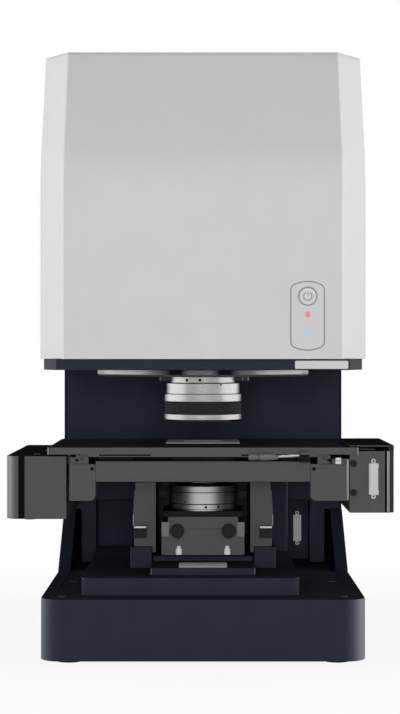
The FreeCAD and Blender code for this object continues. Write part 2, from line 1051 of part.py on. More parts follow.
def power_inlet():
    # the appliance socket: a shell with three flat blades standing in it
    slope = socket_half_height / 2
    outline = [
        (inlet_x - socket_half_width, inlet_z - socket_half_height),
        (inlet_x + socket_half_width, inlet_z - socket_half_height),
        (inlet_x + socket_half_width, inlet_z + socket_half_height - slope),
        (inlet_x + socket_half_width - slope, inlet_z + socket_half_height),
        (inlet_x - socket_half_width + slope, inlet_z + socket_half_height),
        (inlet_x - socket_half_width, inlet_z + socket_half_height - slope),
    ]
    mouth = front_prism(outline, panel_face - socket_depth, panel_face + 1)
    body = inlet_body().cut(mouth)
    blades = []
    for offset, height in ((-7.0, -1.5), (0.0, 2.0), (7.0, -1.5)):
        x = inlet_x + offset
        z = inlet_z + height
        blades.append(block((x - 1, x + 1), (panel_face - socket_depth, panel_face - 2), (z - 2, z + 2)))
    return joined([body] + blades)


def switch_frame_outer():
    outline = rectangle((switch_x - switch_half_width, switch_x + switch_half_width),
                        (inlet_z - switch_half_height, inlet_z + switch_half_height))
    return front_prism(outline, panel_face - inlet_depth, panel_face)


def switch_frame():
    # the switch housing, with ears that carry the rocker's pin
    opening = block((switch_x - rocker_half_width - face_gap, switch_x + rocker_half_width + face_gap),
                    (panel_face - inlet_depth + 2, panel_face + 1),
                    (inlet_z - rocker_half_height - 1, inlet_z + rocker_half_height + 1))
    frame = switch_frame_outer().cut(opening)
    start = point(switch_x - rocker_half_width - 2, rocker_axis_y(), inlet_z)
    pin = rod(rocker_pin_radius, rocker_half_width * 2 + 4, start, across)
    return joined([frame, pin])


def rocker_axis_y():
    return panel_face - rocker_inset


def mains_rocker():
    # a rocker with two slanted faces that meet over its pin
    y = rocker_axis_y()
    half = rocker_half_height
    outline = [
        (y - rocker_depth_behind, inlet_z - half + rocker_taper, rocker_corner),
        (y + rocker_depth_ahead, inlet_z - half + rocker_lip, rocker_corner),
        (y + rocker_valley_depth, inlet_z),
        (y + rocker_depth_ahead, inlet_z + half - rocker_lip, rocker_corner),
        (y - rocker_depth_behind, inlet_z + half - rocker_taper, rocker_corner),
    ]
    body = side_prism(outline, switch_x - rocker_half_width, switch_x + rocker_half_width)
    start = point(switch_x - rocker_half_width - 1, y, inlet_z)
    bore = rod(rocker_pin_radius + running_clearance, rocker_half_width * 2 + 2, start, across)
    return body.cut(bore)


def head_plate():
    # the head's base: a thick plate with slanted front corners over the turret
    corners = [
        (-head_plate_front_half_width, head_plate_front, 1.0),
        (head_plate_front_half_width, head_plate_front, 1.0),
        (head_plate_half_width, head_plate_front + head_plate_chamfer_depth, 3.0),
        (head_plate_half_width, base_depth, 3.0),
        (-head_plate_half_width, base_depth, 3.0),
        (-head_plate_half_width, head_plate_front + head_plate_chamfer_depth, 3.0),
    ]
    plate = slab(corners, head_bottom, head_top_face)
    below = head_bottom - head_plate_thickness
    light_hole = rod(light_hole_radius, head_plate_thickness * 3, point(0, axis_y, below))
    axle_hole = rod(axle_radius, head_plate_thickness * 3, point(0, turret_y, below))
    cable_front = column_front + cable_hole_behind_column
    cable_outline = rectangle((-cable_hole_half_width, cable_hole_half_width),
                              (cable_front, cable_front + cable_hole_depth), cable_hole_corner)
    cable_hole = slab(cable_outline, head_bottom - head_plate_thickness, head_top_face + head_plate_thickness)
    return plate.cut([light_hole, axle_hole, cable_hole])


def cover_profile(inset):
    # the side view of the cover: upright front, a bend, a leaning brow and a flat top
    lean = math.radians(cover_lean)
    front = cover_front
    bend_centre = (front + cover_bend_radius, cover_bend_start)
    bend = arc_of(cover_bend_radius - inset, bend_centre, 180, 180 - cover_lean)
    # the brow's centre lies one radius under the top and one radius behind the leaning line
    brow_z = cover_top - cover_brow_radius
    line_y = bend_centre[0] - cover_bend_radius * math.cos(lean)
    line_z = bend_centre[1] + cover_bend_radius * math.sin(lean)
    brow_y = line_y + (brow_z - line_z) * math.tan(lean) + cover_brow_radius / math.cos(lean)
    brow = arc_of(cover_brow_radius - inset, (brow_y, brow_z), 180 - cover_lean, 90)
    rear_centre = (base_depth - cover_rear_radius, cover_top - cover_rear_radius)
    rear = arc_of(cover_rear_radius - inset, rear_centre, 90, 0)
    return bend, brow, rear


def cover_side_face(inset, x, low):
    bend, brow, rear = cover_profile(inset)

    def place(pair):
        return point(x, pair[0], pair[1])

    first = (cover_front + inset, low)
    last = (base_depth - inset, low)
    edges = [
        Part.makeLine(place(first), place(bend[0])),
        Part.Arc(place(bend[0]), place(bend[1]), place(bend[2])).toShape(),
        Part.makeLine(place(bend[2]), place(brow[0])),
        Part.Arc(place(brow[0]), place(brow[1]), place(brow[2])).toShape(),
        Part.makeLine(place(brow[2]), place(rear[0])),
        Part.Arc(place(rear[0]), place(rear[1]), place(rear[2])).toShape(),
        Part.makeLine(place(rear[2]), place(last)),
        Part.makeLine(place(last), place(first)),
    ]
    return Part.Face(Part.Wire(edges))


def cover_solid(inset, low):
    # the slanted corners are the same side view pushed outwards and back, so they follow the bend
    run = cover_half_width - cover_front_half_width
    slant = math.hypot(run, cover_chamfer_depth)
    front_half = cover_front_half_width - inset * (slant - run) / cover_chamfer_depth
    side_half = cover_half_width - inset
    push = side_half - front_half
    side_face = cover_side_face(inset, -side_half, low)
    full = side_face.extrude(point(2 * side_half, 0, 0))
    centre = cover_side_face(inset, -front_half, low).extrude(point(2 * front_half, 0, 0))
    corner_face = cover_side_face(inset, front_half, low)
    corner = corner_face.extrude(point(push, push * cover_chamfer_depth / run, 0))
    behind = block((front_half, side_half), (base_depth / 2, base_depth * 2), (low, cover_top * 2))
    corner = corner.fuse(behind)
    return full.common(joined([centre] + both_sides(corner)))


def cover_shell():
    outer = cover_solid(0.0, head_top_face)
    inner = cover_solid(cover_wall, head_top_face - 1)
    return outer.cut(inner)


def front_cover_region():
    # everything ahead of the seam between the front cover and the main cover
    seam_depth = cover_wall + 2.0
    bend, brow, rear = cover_profile(seam_depth)
    wall_line = cover_front + seam_depth
    half = cover_front_half_width - face_gap / 2

    def place(pair):
        return point(-half, pair[0], pair[1])

    low = head_top_face - 1
    edges = [
        Part.makeLine(place((wall_line, low)), place(bend[0])),
        Part.Arc(place(bend[0]), place(bend[1]), place(bend[2])).toShape(),
        Part.makeLine(place(bend[2]), place(brow[0])),
        Part.makeLine(place(brow[0]), place((brow[0][0], cover_top + 1))),
        Part.makeLine(place((brow[0][0], cover_top + 1)), place((0, cover_top + 1))),
        Part.makeLine(place((0, cover_top + 1)), place((0, low))),
        Part.makeLine(place((0, low)), place((wall_line, low))),
    ]
    return Part.Face(Part.Wire(edges)).extrude(point(2 * half, 0, 0))


def panel_centre():
    return (panel_left + panel_right) / 2


def panel_holes():
    start = cover_front - panel_film - 1
    through = cover_wall + panel_film + 2
    holes = [rod(button_radius + face_gap, through, point(panel_centre(), start, button_height), back)]
    for height in lamp_heights:
        holes.append(rod(lamp_radius, through, point(panel_centre(), start, height), back))
    return holes


def front_cover(shell):
    panel = shell.common(front_cover_region())
    return panel.cut(panel_holes())


def main_cover(shell):
    return shell.cut(front_cover_region())


def control_panel():
    # a printed film with straight sides and arched ends
    half = (panel_right - panel_left) / 2
    rise = half * 0.3
    centre = panel_centre()
    low = panel_bottom + rise
    high = panel_top - rise
    near = cover_front - panel_film

    def place(x, z):
        return point(x, near, z)

    edges = [
        Part.makeLine(place(panel_left, high), place(panel_left, low)),
        Part.Arc(place(panel_left, low), place(centre, panel_bottom), place(panel_right, low)).toShape(),
        Part.makeLine(place(panel_right, low), place(panel_right, high)),
        Part.Arc(place(panel_right, high), place(centre, panel_top), place(panel_left, high)).toShape(),
    ]
    film = Part.Face(Part.Wire(edges)).extrude(point(0, panel_film, 0))
    return film.cut(panel_holes())


def power_button():
    # a domed cap on a short stem
    face = cover_front - panel_film - button_proud
    profile = [
        (0, 0),
        (button_radius - 1.0, 0),
        (button_radius, 0.8),
        (button_radius, button_cap_thickness),
        (button_stem_radius, button_cap_thickness),
        (button_stem_radius, button_cap_thickness + button_stem_length),
        (0, button_cap_thickness + button_stem_length),
    ]
    button = turned(profile, 0, 0)
    button.rotate(point(0, 0, 0), across, -90)
    button.translate(point(panel_centre(), face, button_height))
    return button


def button_switch():
    # a cup behind the cover that the button runs in
    near = cover_front + cover_wall
    face = cover_front - panel_film - button_proud
    stem_end = face + button_cap_thickness + button_stem_length + button_travel
    bore = button_radius + face_gap
    far = stem_end + face_gap + switch_wall
    start = point(panel_centre(), near, button_height)
    cup = rod(bore + switch_wall, far - near, start, back)
    hollow = rod(bore, far - near - switch_wall, start, back)
    return cup.cut(hollow)


def indicator_lamp(height):
    near = cover_front - panel_film - lamp_proud
    lamp = rod(lamp_radius, lamp_length, point(0, 0, 0))
    lamp.rotate(point(0, 0, 0), across, -90)
    lamp.translate(point(panel_centre(), near, height))
    return lamp


# Heights of the objective's parts, from the turret down
neck_bottom = turret_bottom - neck_height
barrel_bottom = neck_bottom - barrel_height
flange_bottom = barrel_bottom - flange_height
grip_bottom = flange_bottom - grip_height
nose_bottom = grip_bottom - nose_height


def port_places():
    places = []
    reach = turret_y - axis_y
    for number in range(turret_port_count):
        angle = math.radians(-90 + 360 / turret_port_count * number)
        places.append((reach * math.cos(angle), turret_y + reach * math.sin(angle)))
    return places


def turret_disc():
    # a turned disc with a rounded rim and one port for each objective
    top = turret_bottom + turret_thickness
    profile = [
        (axle_radius + running_clearance, turret_bottom),
        (turret_radius - rim_bevel, turret_bottom),
        (turret_radius, turret_bottom + rim_bevel),
        (turret_radius, top),
        (axle_radius + running_clearance, top),
    ]
    disc = turned(profile, 0, turret_y)
    ports = []
    for x, y in port_places():
        ports.append(rod(port_radius, turret_thickness * 3, point(x, y, turret_bottom - turret_thickness)))
    return disc.cut(ports)


def port_caps():
    # flat dust caps over the ports that hold no objective
    caps = []
    profile = [
        (0, turret_bottom - port_cap_height),
        (port_cap_radius - port_cap_edge, turret_bottom - port_cap_height),
        (port_cap_radius, turret_bottom - port_cap_height + port_cap_edge),
        (port_cap_radius, turret_bottom),
        (port_radius - face_gap, turret_bottom),
        (port_radius - face_gap, turret_bottom + turret_thickness / 2),
        (0, turret_bottom + turret_thickness / 2),
    ]
    for x, y in port_places()[1:]:
        caps.append(turned(profile, x, y))
    return group(caps)


def turret_axle():
    # a shouldered pin in the head plate; its head keeps the disc up
    head_top = turret_bottom - face_gap
    pin_top = head_top_face
    profile = [
        (0, head_top - axle_head_height),
        (axle_head_radius, head_top - axle_head_height),
        (axle_head_radius, head_top),
        (axle_radius, head_top),
        (axle_radius, pin_top),
        (0, pin_top),
    ]
    return turned(profile, 0, turret_y)


def objective_holder():
    # two ribbed tabs that clamp the neck under the disc
    low = turret_bottom - holder_thickness
    corners = [
        (-holder_left, axis_y - holder_half_depth, 1.0),
        (holder_right, axis_y - holder_half_depth, 1.0),
        (holder_right, axis_y + holder_half_depth, 1.0),
        (-holder_left, axis_y + holder_half_depth, 1.0),
    ]
    plate = slab(corners, low, turret_bottom)
    ribs = []
    front = axis_y - holder_half_depth
    for x in (-holder_left, holder_right - 8.0, holder_right - holder_rib_width):
        ribs.append(block((x, x + holder_rib_width), (front - holder_rib_proud, front), (low, turret_bottom)))
    neck_hole = rod(neck_radius, holder_thickness * 3, point(0, axis_y, low - holder_thickness))
    return joined([plate] + ribs).cut(neck_hole)


def objective_barrel():
    # the fixed body: neck, upper barrel, flange and the core that the grip ring turns on
    core_end = grip_bottom
    profile = [
        (objective_bore, neck_bottom - bore_top_drop),
        (objective_bore, core_end),
        (grip_core_radius, core_end),
        (grip_core_radius, flange_bottom),
        (flange_radius, flange_bottom),
        (flange_radius, barrel_bottom - edge_bevel),
        (flange_radius - edge_bevel, barrel_bottom),
        (barrel_radius, barrel_bottom),
        (barrel_radius, neck_bottom - edge_bevel),
        (barrel_radius - edge_bevel, neck_bottom),
        (neck_radius, neck_bottom),
        (neck_radius, turret_bottom),
        (port_radius - face_gap, turret_bottom),
        (port_radius - face_gap, turret_bottom + turret_thickness / 2),
        (port_radius - port_shoulder, turret_bottom + turret_thickness / 2),
        (port_radius - port_shoulder, neck_bottom - bore_top_drop),
    ]
    return turned(profile, 0, axis_y)


def grip_ring():
    # the correction collar, which turns on the barrel's core
    clear = face_gap / 2
    inner = grip_core_radius + running_clearance
    low = grip_bottom + clear
    high = flange_bottom - clear
    profile = [
        (inner, low),
        (grip_radius, low),
        (grip_radius, high),
        (inner, high),
    ]
    return turned(profile, 0, axis_y)


def objective_nose():
    # the lower ring that is screwed on and keeps the grip ring up
    profile = [
        (objective_mouth, nose_bottom),
        (nose_radius - nose_chamfer, nose_bottom),
        (nose_radius, nose_bottom + nose_chamfer * 0.7),
        (nose_radius, grip_bottom),
        (objective_bore, grip_bottom),
        (objective_bore, nose_bottom + mouth_thickness),
        (objective_mouth, nose_bottom + mouth_thickness),
    ]
    return turned(profile, 0, axis_y)


def mirror_pair(x, y, low, high, bore, facing):
    # a large hollow mirror with a hole, and a small mirror on three arms; facing is the large one's side
    back_face = low if facing > 0 else high
    front_face = back_face + facing * mirror_thickness
    rise = mirror_curve_radius - math.sqrt(mirror_curve_radius ** 2 - (bore - mirror_rim) ** 2)
    hole_rise = mirror_curve_radius - math.sqrt(mirror_curve_radius ** 2 - mirror_hole_radius ** 2)
    deep = front_face - facing * rise
    near_hole = deep + facing * hole_rise
    middle_radius = (mirror_hole_radius + bore - mirror_rim) / 2
    middle_rise = mirror_curve_radius - math.sqrt(mirror_curve_radius ** 2 - middle_radius ** 2)

    def place(radius, height):
        return point(x + radius, y, height)

    middle = place(middle_radius, deep + facing * middle_rise)
    edges = [
        Part.makeLine(place(mirror_hole_radius, back_face), place(bore, back_face)),
        Part.makeLine(place(bore, back_face), place(bore, front_face)),
        Part.makeLine(place(bore, front_face), place(bore - mirror_rim, front_face)),
        Part.makeLine(place(bore - mirror_rim, front_face), middle),
        Part.makeLine(middle, place(mirror_hole_radius, near_hole)),
        Part.makeLine(place(mirror_hole_radius, near_hole), place(mirror_hole_radius, back_face)),
    ]
    large = Part.Face(Part.Wire(edges)).revolve(point(x, y, 0), up, 360)
    far_face = high if facing > 0 else low
    ring_inner = far_face - facing * spider_thickness
    spider_low = min(far_face, ring_inner)
    ring = pipe(bore, bore - spider_ring_width, spider_thickness, point(x, y, spider_low))
    arms = []
    for number in range(spider_arm_count):
        arm = block((x + spider_arm_width, x + bore - spider_ring_width / 2),
                    (y - spider_arm_width / 2, y + spider_arm_width / 2),
                    (spider_low, spider_low + spider_thickness))
        arm.rotate(point(x, y, 0), up, 360 / spider_arm_count * number + 90)
        arms.append(arm)
    dome_base = min(ring_inner, ring_inner - facing * small_mirror_thickness)
    small = rod(small_mirror_radius, spider_thickness + small_mirror_thickness,
                point(x, y, min(dome_base, spider_low)))
    return [large, joined([ring, small] + arms)]


def objective_mirrors():
    high = neck_bottom - bore_top_drop
    return group(mirror_pair(0, axis_y, nose_bottom + mouth_thickness, high, objective_bore, -1))


def upright():
    # the right upright, a plate whose front shows a shoulder and a knee
    corners = [
        (upright_inner, crosshead_bottom),
        (upright_outer_foot, crosshead_bottom),
        (upright_outer_foot, upright_knee_low),
        (upright_outer_knee, upright_knee_low + 1.0),
        (upright_outer_knee, upright_knee_high),
        (upright_outer_shoulder, upright_shoulder_height),
        (upright_outer_top, upright_shoulder_height),
        (upright_outer_top, stage_floor_bottom),
        (upright_inner, stage_floor_bottom),
    ]
    body = front_prism(corners, upright_front, crosshead_front)
    leg = block((upright_inner, upright_inner + upright_leg_thickness), (upright_front, crosshead_front),
                (crosshead_bottom - upright_leg_drop, crosshead_bottom))
    # the outer flank is hollowed behind the front edge, as on a machined casting
    front = upright_front + upright_pocket_inset
    rear = crosshead_front - upright_pocket_inset
    low = crosshead_bottom + upright_pocket_foot
    high = stage_floor_bottom - upright_pocket_head
    pocket_outline = [
        (front, low, upright_pocket_corner),
        (rear, low, upright_pocket_corner),
        (rear, high, upright_pocket_corner),
        (front, high, upright_pocket_corner),
    ]
    pocket = side_prism(pocket_outline, upright_inner + upright_web, upright_outer_knee + 1)
    return joined([body, leg]).cut(pocket)


def stop_block():
    top = stop_block_bottom + stop_block_height
    side = (stop_block_left, stop_block_right)
    return block(side, (upright_front - stop_block_proud, upright_front), (stop_block_bottom, top))


def crosshead():
    # the plate that joins the uprights, with carriages round the rails and a bracket for the nut
    half = crosshead_half_width
    plate = block((-half, half), (crosshead_front, crosshead_rear), (crosshead_bottom, stage_floor_bottom))
    parts = [plate]
    for side in (-1, 1):
        middle = side * rail_offset
        width = (middle - carriage_half_width, middle + carriage_half_width)
        parts.append(block(width, (crosshead_rear, crosshead_rear + carriage_depth),
                           (crosshead_bottom + carriage_end_gap, stage_floor_bottom - carriage_end_gap)))
    bracket_rear = screw_y + nut_bracket_half_width * nut_bracket_rear_share
    bracket_outline = [
        (-nut_bracket_half_width, crosshead_rear),
        (nut_bracket_half_width, crosshead_rear),
        (nut_bracket_half_width, bracket_rear, nut_bracket_corner),
        (-nut_bracket_half_width, bracket_rear, nut_bracket_corner),
    ]
    parts.append(slab(bracket_outline, nut_bracket_bottom, nut_bracket_bottom + nut_bracket_height))
    body = joined(parts)
    cuts = [rod(lift_screw_radius + running_clearance, nut_bracket_height * 2,
                point(0, screw_y, nut_bracket_bottom - nut_bracket_height / 2))]
    half_groove = rail_width / 2 + face_gap
    for side in (-1, 1):
        middle = side * rail_offset
        cuts.append(block((middle - half_groove, middle + half_groove),
                          (tower_front - rail_depth - face_gap, tower_front),
                          (crosshead_bottom - 1, stage_floor_bottom)))
    return body.cut(cuts)


def stage_floor():
    # the plate on the uprights, open at the front round the condenser
    notch = condenser_notch_radius
    half = stage_floor_half_width
    rear = tower_front - rail_depth - face_gap * 2
    corners = [
        (-half, stage_floor_front, 3.0),
        (-half, rear, 3.0),
        (half, rear, 3.0),
        (half, stage_floor_front, 3.0),
    ]
    plate = slab(corners, stage_floor_bottom, stage_floor_top)
    hole = rod(notch, stage_floor_thickness * 3, point(0, axis_y, stage_floor_bottom - stage_floor_thickness))
    bracket_front = frame_front + left_box_depth - arm_bracket_from_rear
    width = (-left_box_inner, -half + arm_bracket_overlap)
    bracket = block(width, (bracket_front, bracket_front + arm_bracket_depth),
                    (stage_floor_bottom, stage_floor_top))
    return joined([plate, bracket]).cut(hole)


def y_rails():
    half = y_rail_width / 2
    side = (y_rail_offset - half, y_rail_offset + half)
    rear = tower_front - rail_depth - face_gap * 2
    rail = block(side, (stage_floor_front + 1.5, rear - 1.5),
                 (stage_floor_top, stage_floor_top + y_rail_height))
    return group(both_sides(rail))


def front_beam():
    # the long bar under the apron, grooved below for the rails
    rear = frame_front + front_beam_depth
    outline = [
        (frame_front, frame_bottom, 0.6),
        (rear, frame_bottom, 0.6),
        (rear, frame_top, 0.6),
        (frame_front, frame_top, 0.6),
    ]
    return side_prism(outline, -beam_half_length, beam_half_length)


def rear_beam():
    outline = [
        (rear_beam_front, frame_bottom, 0.6),
        (frame_rear, frame_bottom, 0.6),
        (frame_rear, frame_top, 0.6),
        (rear_beam_front, frame_top, 0.6),
    ]
    beam = side_prism(outline, -beam_half_length, beam_half_length)
    grooves = []
    half = y_rail_width / 2 + face_gap
    top = stage_floor_top + y_rail_height + face_gap
    for side in (-1, 1):
        middle = side * y_rail_offset
        grooves.append(block((middle - half, middle + half), (rear_beam_front - 1, frame_rear + 1),
                             (frame_bottom - 1, top)))
    return beam.cut(grooves)


def left_end_plate():
    return end_plate(-left_end_outer, -beam_half_length)


def right_end_plate():
    return end_plate(beam_half_length, right_end_outer)


def end_plate(left, right):
    # a front plate with a rounded inner lower corner, and the side member behind it
    inner_left = left > 0
    corners = [
        (left, end_plate_bottom, end_plate_corner if inner_left else 0.8),
        (right, end_plate_bottom, 0.8 if inner_left else end_plate_corner),
        (right, end_plate_top, 0.8),
        (left, end_plate_top, 0.8),
    ]
    front = front_prism(corners, frame_front, frame_front + end_plate_depth)
    side_right = right_box_inner if inner_left else right
    member = block((left, side_right), (frame_front + end_plate_depth, side_member_rear),
                   (side_member_bottom, end_plate_top))
    body = joined([front, member])
    cuts = []
    if inner_left:
        relief = block((right, side_right + 1), (frame_front, right_box_front + end_relief_depth),
                       (end_plate_bottom, end_plate_top + 1))
        cuts.append(relief)
        bore_start = point(left - 1, x_screw_y, x_screw_height)
        cuts.append(rod(stage_screw_radius + running_clearance, side_right - left + 2, bore_start, across))
        screw_x = left + 3.6
    else:
        bore_start = point(right - 18.0, x_screw_y, x_screw_height)
        cuts.append(rod(stage_screw_radius + running_clearance, 19.0, bore_start, across))
        screw_x = right - 3.6
    screw = point(screw_x, frame_front - 1, end_plate_top - 5.0)
    cuts.append(rod(1.5, 4.0, screw, back))
    return body.cut(cuts)


def rail_clips():
    clips = []
    for side in (-1, 1):
        edges = sorted((side * rail_clip_inner, side * rail_clip_outer))
        outline = [
            (edges[0], end_plate_top),
            (edges[1], end_plate_top),
            (edges[1], end_plate_top + rail_clip_height, 2.0),
            (edges[0], end_plate_top + rail_clip_height, 2.0),
        ]
        clip = front_prism(outline, frame_front, frame_front + rail_clip_depth)
        hole = rod(1.3, 4.0, point(side * (rail_clip_inner + 6.5), frame_front - 1,
                                   end_plate_top + rail_clip_height / 2 + 1), back)
        clips.append(clip.cut(hole))
    return group(clips)


def x_rails():
    rails = []
    half = x_rail_width / 2
    for middle in (front_rail_y, (rear_beam_front + frame_rear) / 2):
        rails.append(block((-x_rail_half_length, x_rail_half_length), (middle - half, middle + half),
                           (frame_top, frame_top + x_rail_height)))
    return group(rails)


def x_carriages():
    carriages = []
    half = x_rail_width / 2 + face_gap
    groove_top = frame_top + x_rail_height + face_gap
    for middle in (front_rail_y, (rear_beam_front + frame_rear) / 2):
        for side in (-1, 1):
            centre = side * x_carriage_offset
            body = block((centre - x_carriage_half_length, centre + x_carriage_half_length),
                         (middle - x_carriage_half_width, middle + x_carriage_half_width),
                         (frame_top + face_gap * 2, plate_bottom))
            groove = block((centre - x_carriage_half_length - 1, centre + x_carriage_half_length + 1),
                           (middle - half, middle + half), (frame_top, groove_top))
            carriages.append(body.cut(groove))
    return group(carriages)


def stage_plate():
    # the plate with its front apron, a round hole for the insert and slots in the apron
    plate = slab([
        (-plate_half_width, apron_front, 0),
        (plate_half_width, apron_front, 0),
        (plate_half_width, plate_rear, 3.0),
        (-plate_half_width, plate_rear, 3.0),
    ], plate_bottom, plate_top)
    apron_outline = [
        (-plate_half_width, plate_top - apron_end_drop),
        (-apron_middle_half_width, plate_top - apron_end_drop),
        (-apron_middle_half_width + 2.4, plate_top - apron_middle_drop),
        (apron_middle_half_width - 2.4, plate_top - apron_middle_drop),
        (apron_middle_half_width, plate_top - apron_end_drop),
        (plate_half_width, plate_top - apron_end_drop),
        (plate_half_width, plate_top - plate_thickness / 2),
        (-plate_half_width, plate_top - plate_thickness / 2),
    ]
    apron = front_prism(apron_outline, apron_front, apron_front + apron_thickness)
    body = joined([plate, apron])
    hole = rod(insert_radius, plate_thickness * 4, point(0, axis_y, plate_bottom - plate_thickness))
    lip = rod(insert_radius + insert_lip, plate_thickness, point(0, axis_y, plate_top - insert_lip_thickness))
    cuts = [hole, lip]
    slot_top = plate_top - apron_slot_drop
    for left, right in apron_slots:
        cuts.append(block((left, right), (apron_front - 1, apron_front + apron_slot_depth),
                          (slot_top - apron_slot_height, slot_top)))
    return body.cut(cuts)


def stage_insert():
    # the drop-in ring, rebated on its rim, with a window for the beam
    low = plate_bottom
    top = plate_top
    profile = [
        (0, low),
        (insert_radius - face_gap, low),
        (insert_radius - face_gap, top - insert_lip_thickness),
        (insert_radius + insert_lip - face_gap, top - insert_lip_thickness),
        (insert_radius + insert_lip - face_gap, top),
        (0, top),
    ]
    disc = turned(profile, 0, axis_y)
    window = slab(rectangle((-insert_window_half_width, insert_window_half_width),
                            (axis_y - insert_window_half_depth, axis_y + insert_window_half_depth),
                            insert_window_corner),
                  low - 1, top + 1)
    return disc.cut(window)


def specimen_holder():
    # the plate that takes a slide, resting over the window
    low = plate_top
    high = plate_top + holder_plate_thickness
    outline = rectangle((-holder_plate_half_width, holder_plate_half_width),
                        (axis_y - holder_plate_half_depth, axis_y + holder_plate_half_depth),
                        holder_plate_corner)
    plate = slab(outline, low, high)
    window = slab(rectangle((-slide_window_half_width, slide_window_half_width),
                            (axis_y - slide_window_half_depth, axis_y + slide_window_half_depth),
                            slide_window_corner),
                  low - 1, high + 1)
    return plate.cut(window)


def lever_lug():
    # two ears on the apron with the lever's pin through them
    half = lever_eye_height / 2 + face_gap / 2
    ears = []
    for low in (lever_centre_height - half - lever_ear_thickness, lever_centre_height + half):
        outline = [
            (lever_pivot_x - lever_eye_radius, apron_front),
            (lever_pivot_x - lever_eye_radius, lever_pivot_y - lever_eye_radius, lever_lug_corner),
            (lever_pivot_x + lever_eye_radius, lever_pivot_y - lever_eye_radius, lever_lug_corner),
            (lever_pivot_x + lever_eye_radius, apron_front),
        ]
        ears.append(slab(outline, low, low + lever_ear_thickness))
    low = lever_centre_height - half - lever_ear_thickness
    high = lever_centre_height + half + lever_ear_thickness
    web = block((lever_pivot_x - lever_eye_radius, lever_pivot_x + lever_eye_radius),
                (apron_front - lever_web_depth, apron_front), (low, high))
    pin = rod(lever_pin_radius, high - low, point(lever_pivot_x, lever_pivot_y, low))
    return joined(ears + [web, pin])


def eight_sided(y, half_width, half_height):
    # a rectangle in y and z round the lever's middle, with its corners cut
    cut = half_height * 0.4
    z = lever_centre_height
    return [
        (y - half_width + cut, z - half_height),
        (y + half_width - cut, z - half_height),
        (y + half_width, z - half_height + cut),
        (y + half_width, z + half_height - cut),
        (y + half_width - cut, z + half_height),
        (y - half_width + cut, z + half_height),
        (y - half_width, z + half_height - cut),
        (y - half_width, z - half_height + cut),
    ]


def sample_lever():
    # a slim shank on the pin, swelling into a long grip with a groove round it
    y = lever_pivot_y
    low = lever_centre_height - lever_eye_height / 2
    eye = rod(lever_eye_radius, lever_eye_height, point(lever_pivot_x, y, low))
    shank_low = lever_centre_height - lever_shank_half_height
    shank = block((lever_shank_end - lever_shank_half_width, lever_pivot_x),
                  (y - lever_shank_half_width, y + lever_shank_half_width),
                  (shank_low, shank_low + lever_shank_half_height * 2))
    grip = eight_sided(y, lever_grip_half_width, lever_grip_half_height)
    slim = eight_sided(y, lever_grip_half_width * 0.6, lever_grip_half_height * 0.6)
    neck_start = lever_grip_start - lever_groove_width
    grip_wire = rounded_wire(grip, lambda p: point(lever_grip_start, p.x, p.y))
    shank_wire = rounded_wire(slim, lambda p: point(lever_shank_end, p.x, p.y))
    taper = Part.makeLoft([grip_wire, shank_wire], True, True)
    neck = side_prism(slim, neck_start, lever_grip_start)
    tip = side_prism(grip, lever_grip_end, neck_start)
    body = joined([eye, shank, taper, neck, tip])
    bore = rod(lever_pin_radius + running_clearance, lever_eye_height * 2, point(lever_pivot_x, y, low - 1))
    return body.cut(bore)


def y_carriages():
    # blocks on the side members, grooved to straddle the rails
    half = y_rail_width / 2 + face_gap
    rear = y_carriage_front + y_carriage_depth
    body = block((y_rail_offset - half - beam_margin, beam_half_length), (y_carriage_front, rear),
                 (frame_bottom, end_plate_top))
    groove = block((y_rail_offset - half, y_rail_offset + half), (y_carriage_front - 1, rear + 1),
                   (frame_bottom - 1, stage_floor_top + y_rail_height + face_gap))
    return group(both_sides(body.cut(groove)))


def left_drive_cover():
    # a casing with a rounded outer front corner, a groove down its face and a slot for the nut arm
    rear = left_box_front + left_box_depth
    corners = [
        (-left_box_outer, left_box_front, left_box_radius),
        (-left_box_inner, left_box_front, 0.8),
        (-left_box_inner, rear, 1.0),
        (-left_box_outer, rear, 4.0),
    ]
    inner_corners = [
        (-left_box_outer + box_wall, left_box_front + box_wall * 2, left_box_radius - box_wall),
        (-left_box_inner - box_wall, left_box_front + box_wall * 2, 0.5),
        (-left_box_inner - box_wall, rear - box_wall, 0.5),
        (-left_box_outer + box_wall, rear - box_wall, 2.0),
    ]
    shell = slab(corners, left_box_bottom, left_box_top)
    cavity = slab(inner_corners, left_box_bottom - 1, left_box_top - box_wall)
    half_groove = left_groove_width / 2
    groove = block((-left_groove_centre - half_groove, -left_groove_centre + half_groove),
                   (left_box_front - 1, left_box_front + left_groove_depth),
                   (left_box_bottom - 1, left_box_top + 1))
    margin = y_travel + 2.0
    slot_outline = [
        (nut_arm_front - margin, y_screw_height - nut_arm_half_height - 1.0, 1.0),
        (nut_arm_front + nut_arm_depth + margin, y_screw_height - nut_arm_half_height - 1.0, 1.0),
        (nut_arm_front + nut_arm_depth + margin, y_screw_height + nut_arm_half_height + 1.0, 1.0),
        (nut_arm_front - margin, y_screw_height + nut_arm_half_height + 1.0, 1.0),
    ]
    slot = side_prism(slot_outline, -left_box_inner - box_wall - 1, -left_box_inner + 1)
    return shell.cut([cavity, groove, slot])


def left_drive_floor():
    rear = left_box_front + left_box_depth
    corners = [
        (-left_box_outer + box_wall, left_box_front + box_wall * 2, left_box_radius - box_wall),
        (-left_box_inner - box_wall, left_box_front + box_wall * 2, 0.5),
        (-left_box_inner - box_wall, rear - box_wall, 0.5),
        (-left_box_outer + box_wall, rear - box_wall, 2.0),
    ]
    floor = slab(corners, left_box_bottom, left_box_bottom + box_wall)
    foot = turned([(0, left_box_bottom - 2.0), (5.0, left_box_bottom - 2.0), (7.0, left_box_bottom),
                   (0, left_box_bottom)], -left_box_outer + left_box_radius + 8, left_box_front + 22)
    return joined([floor, foot])


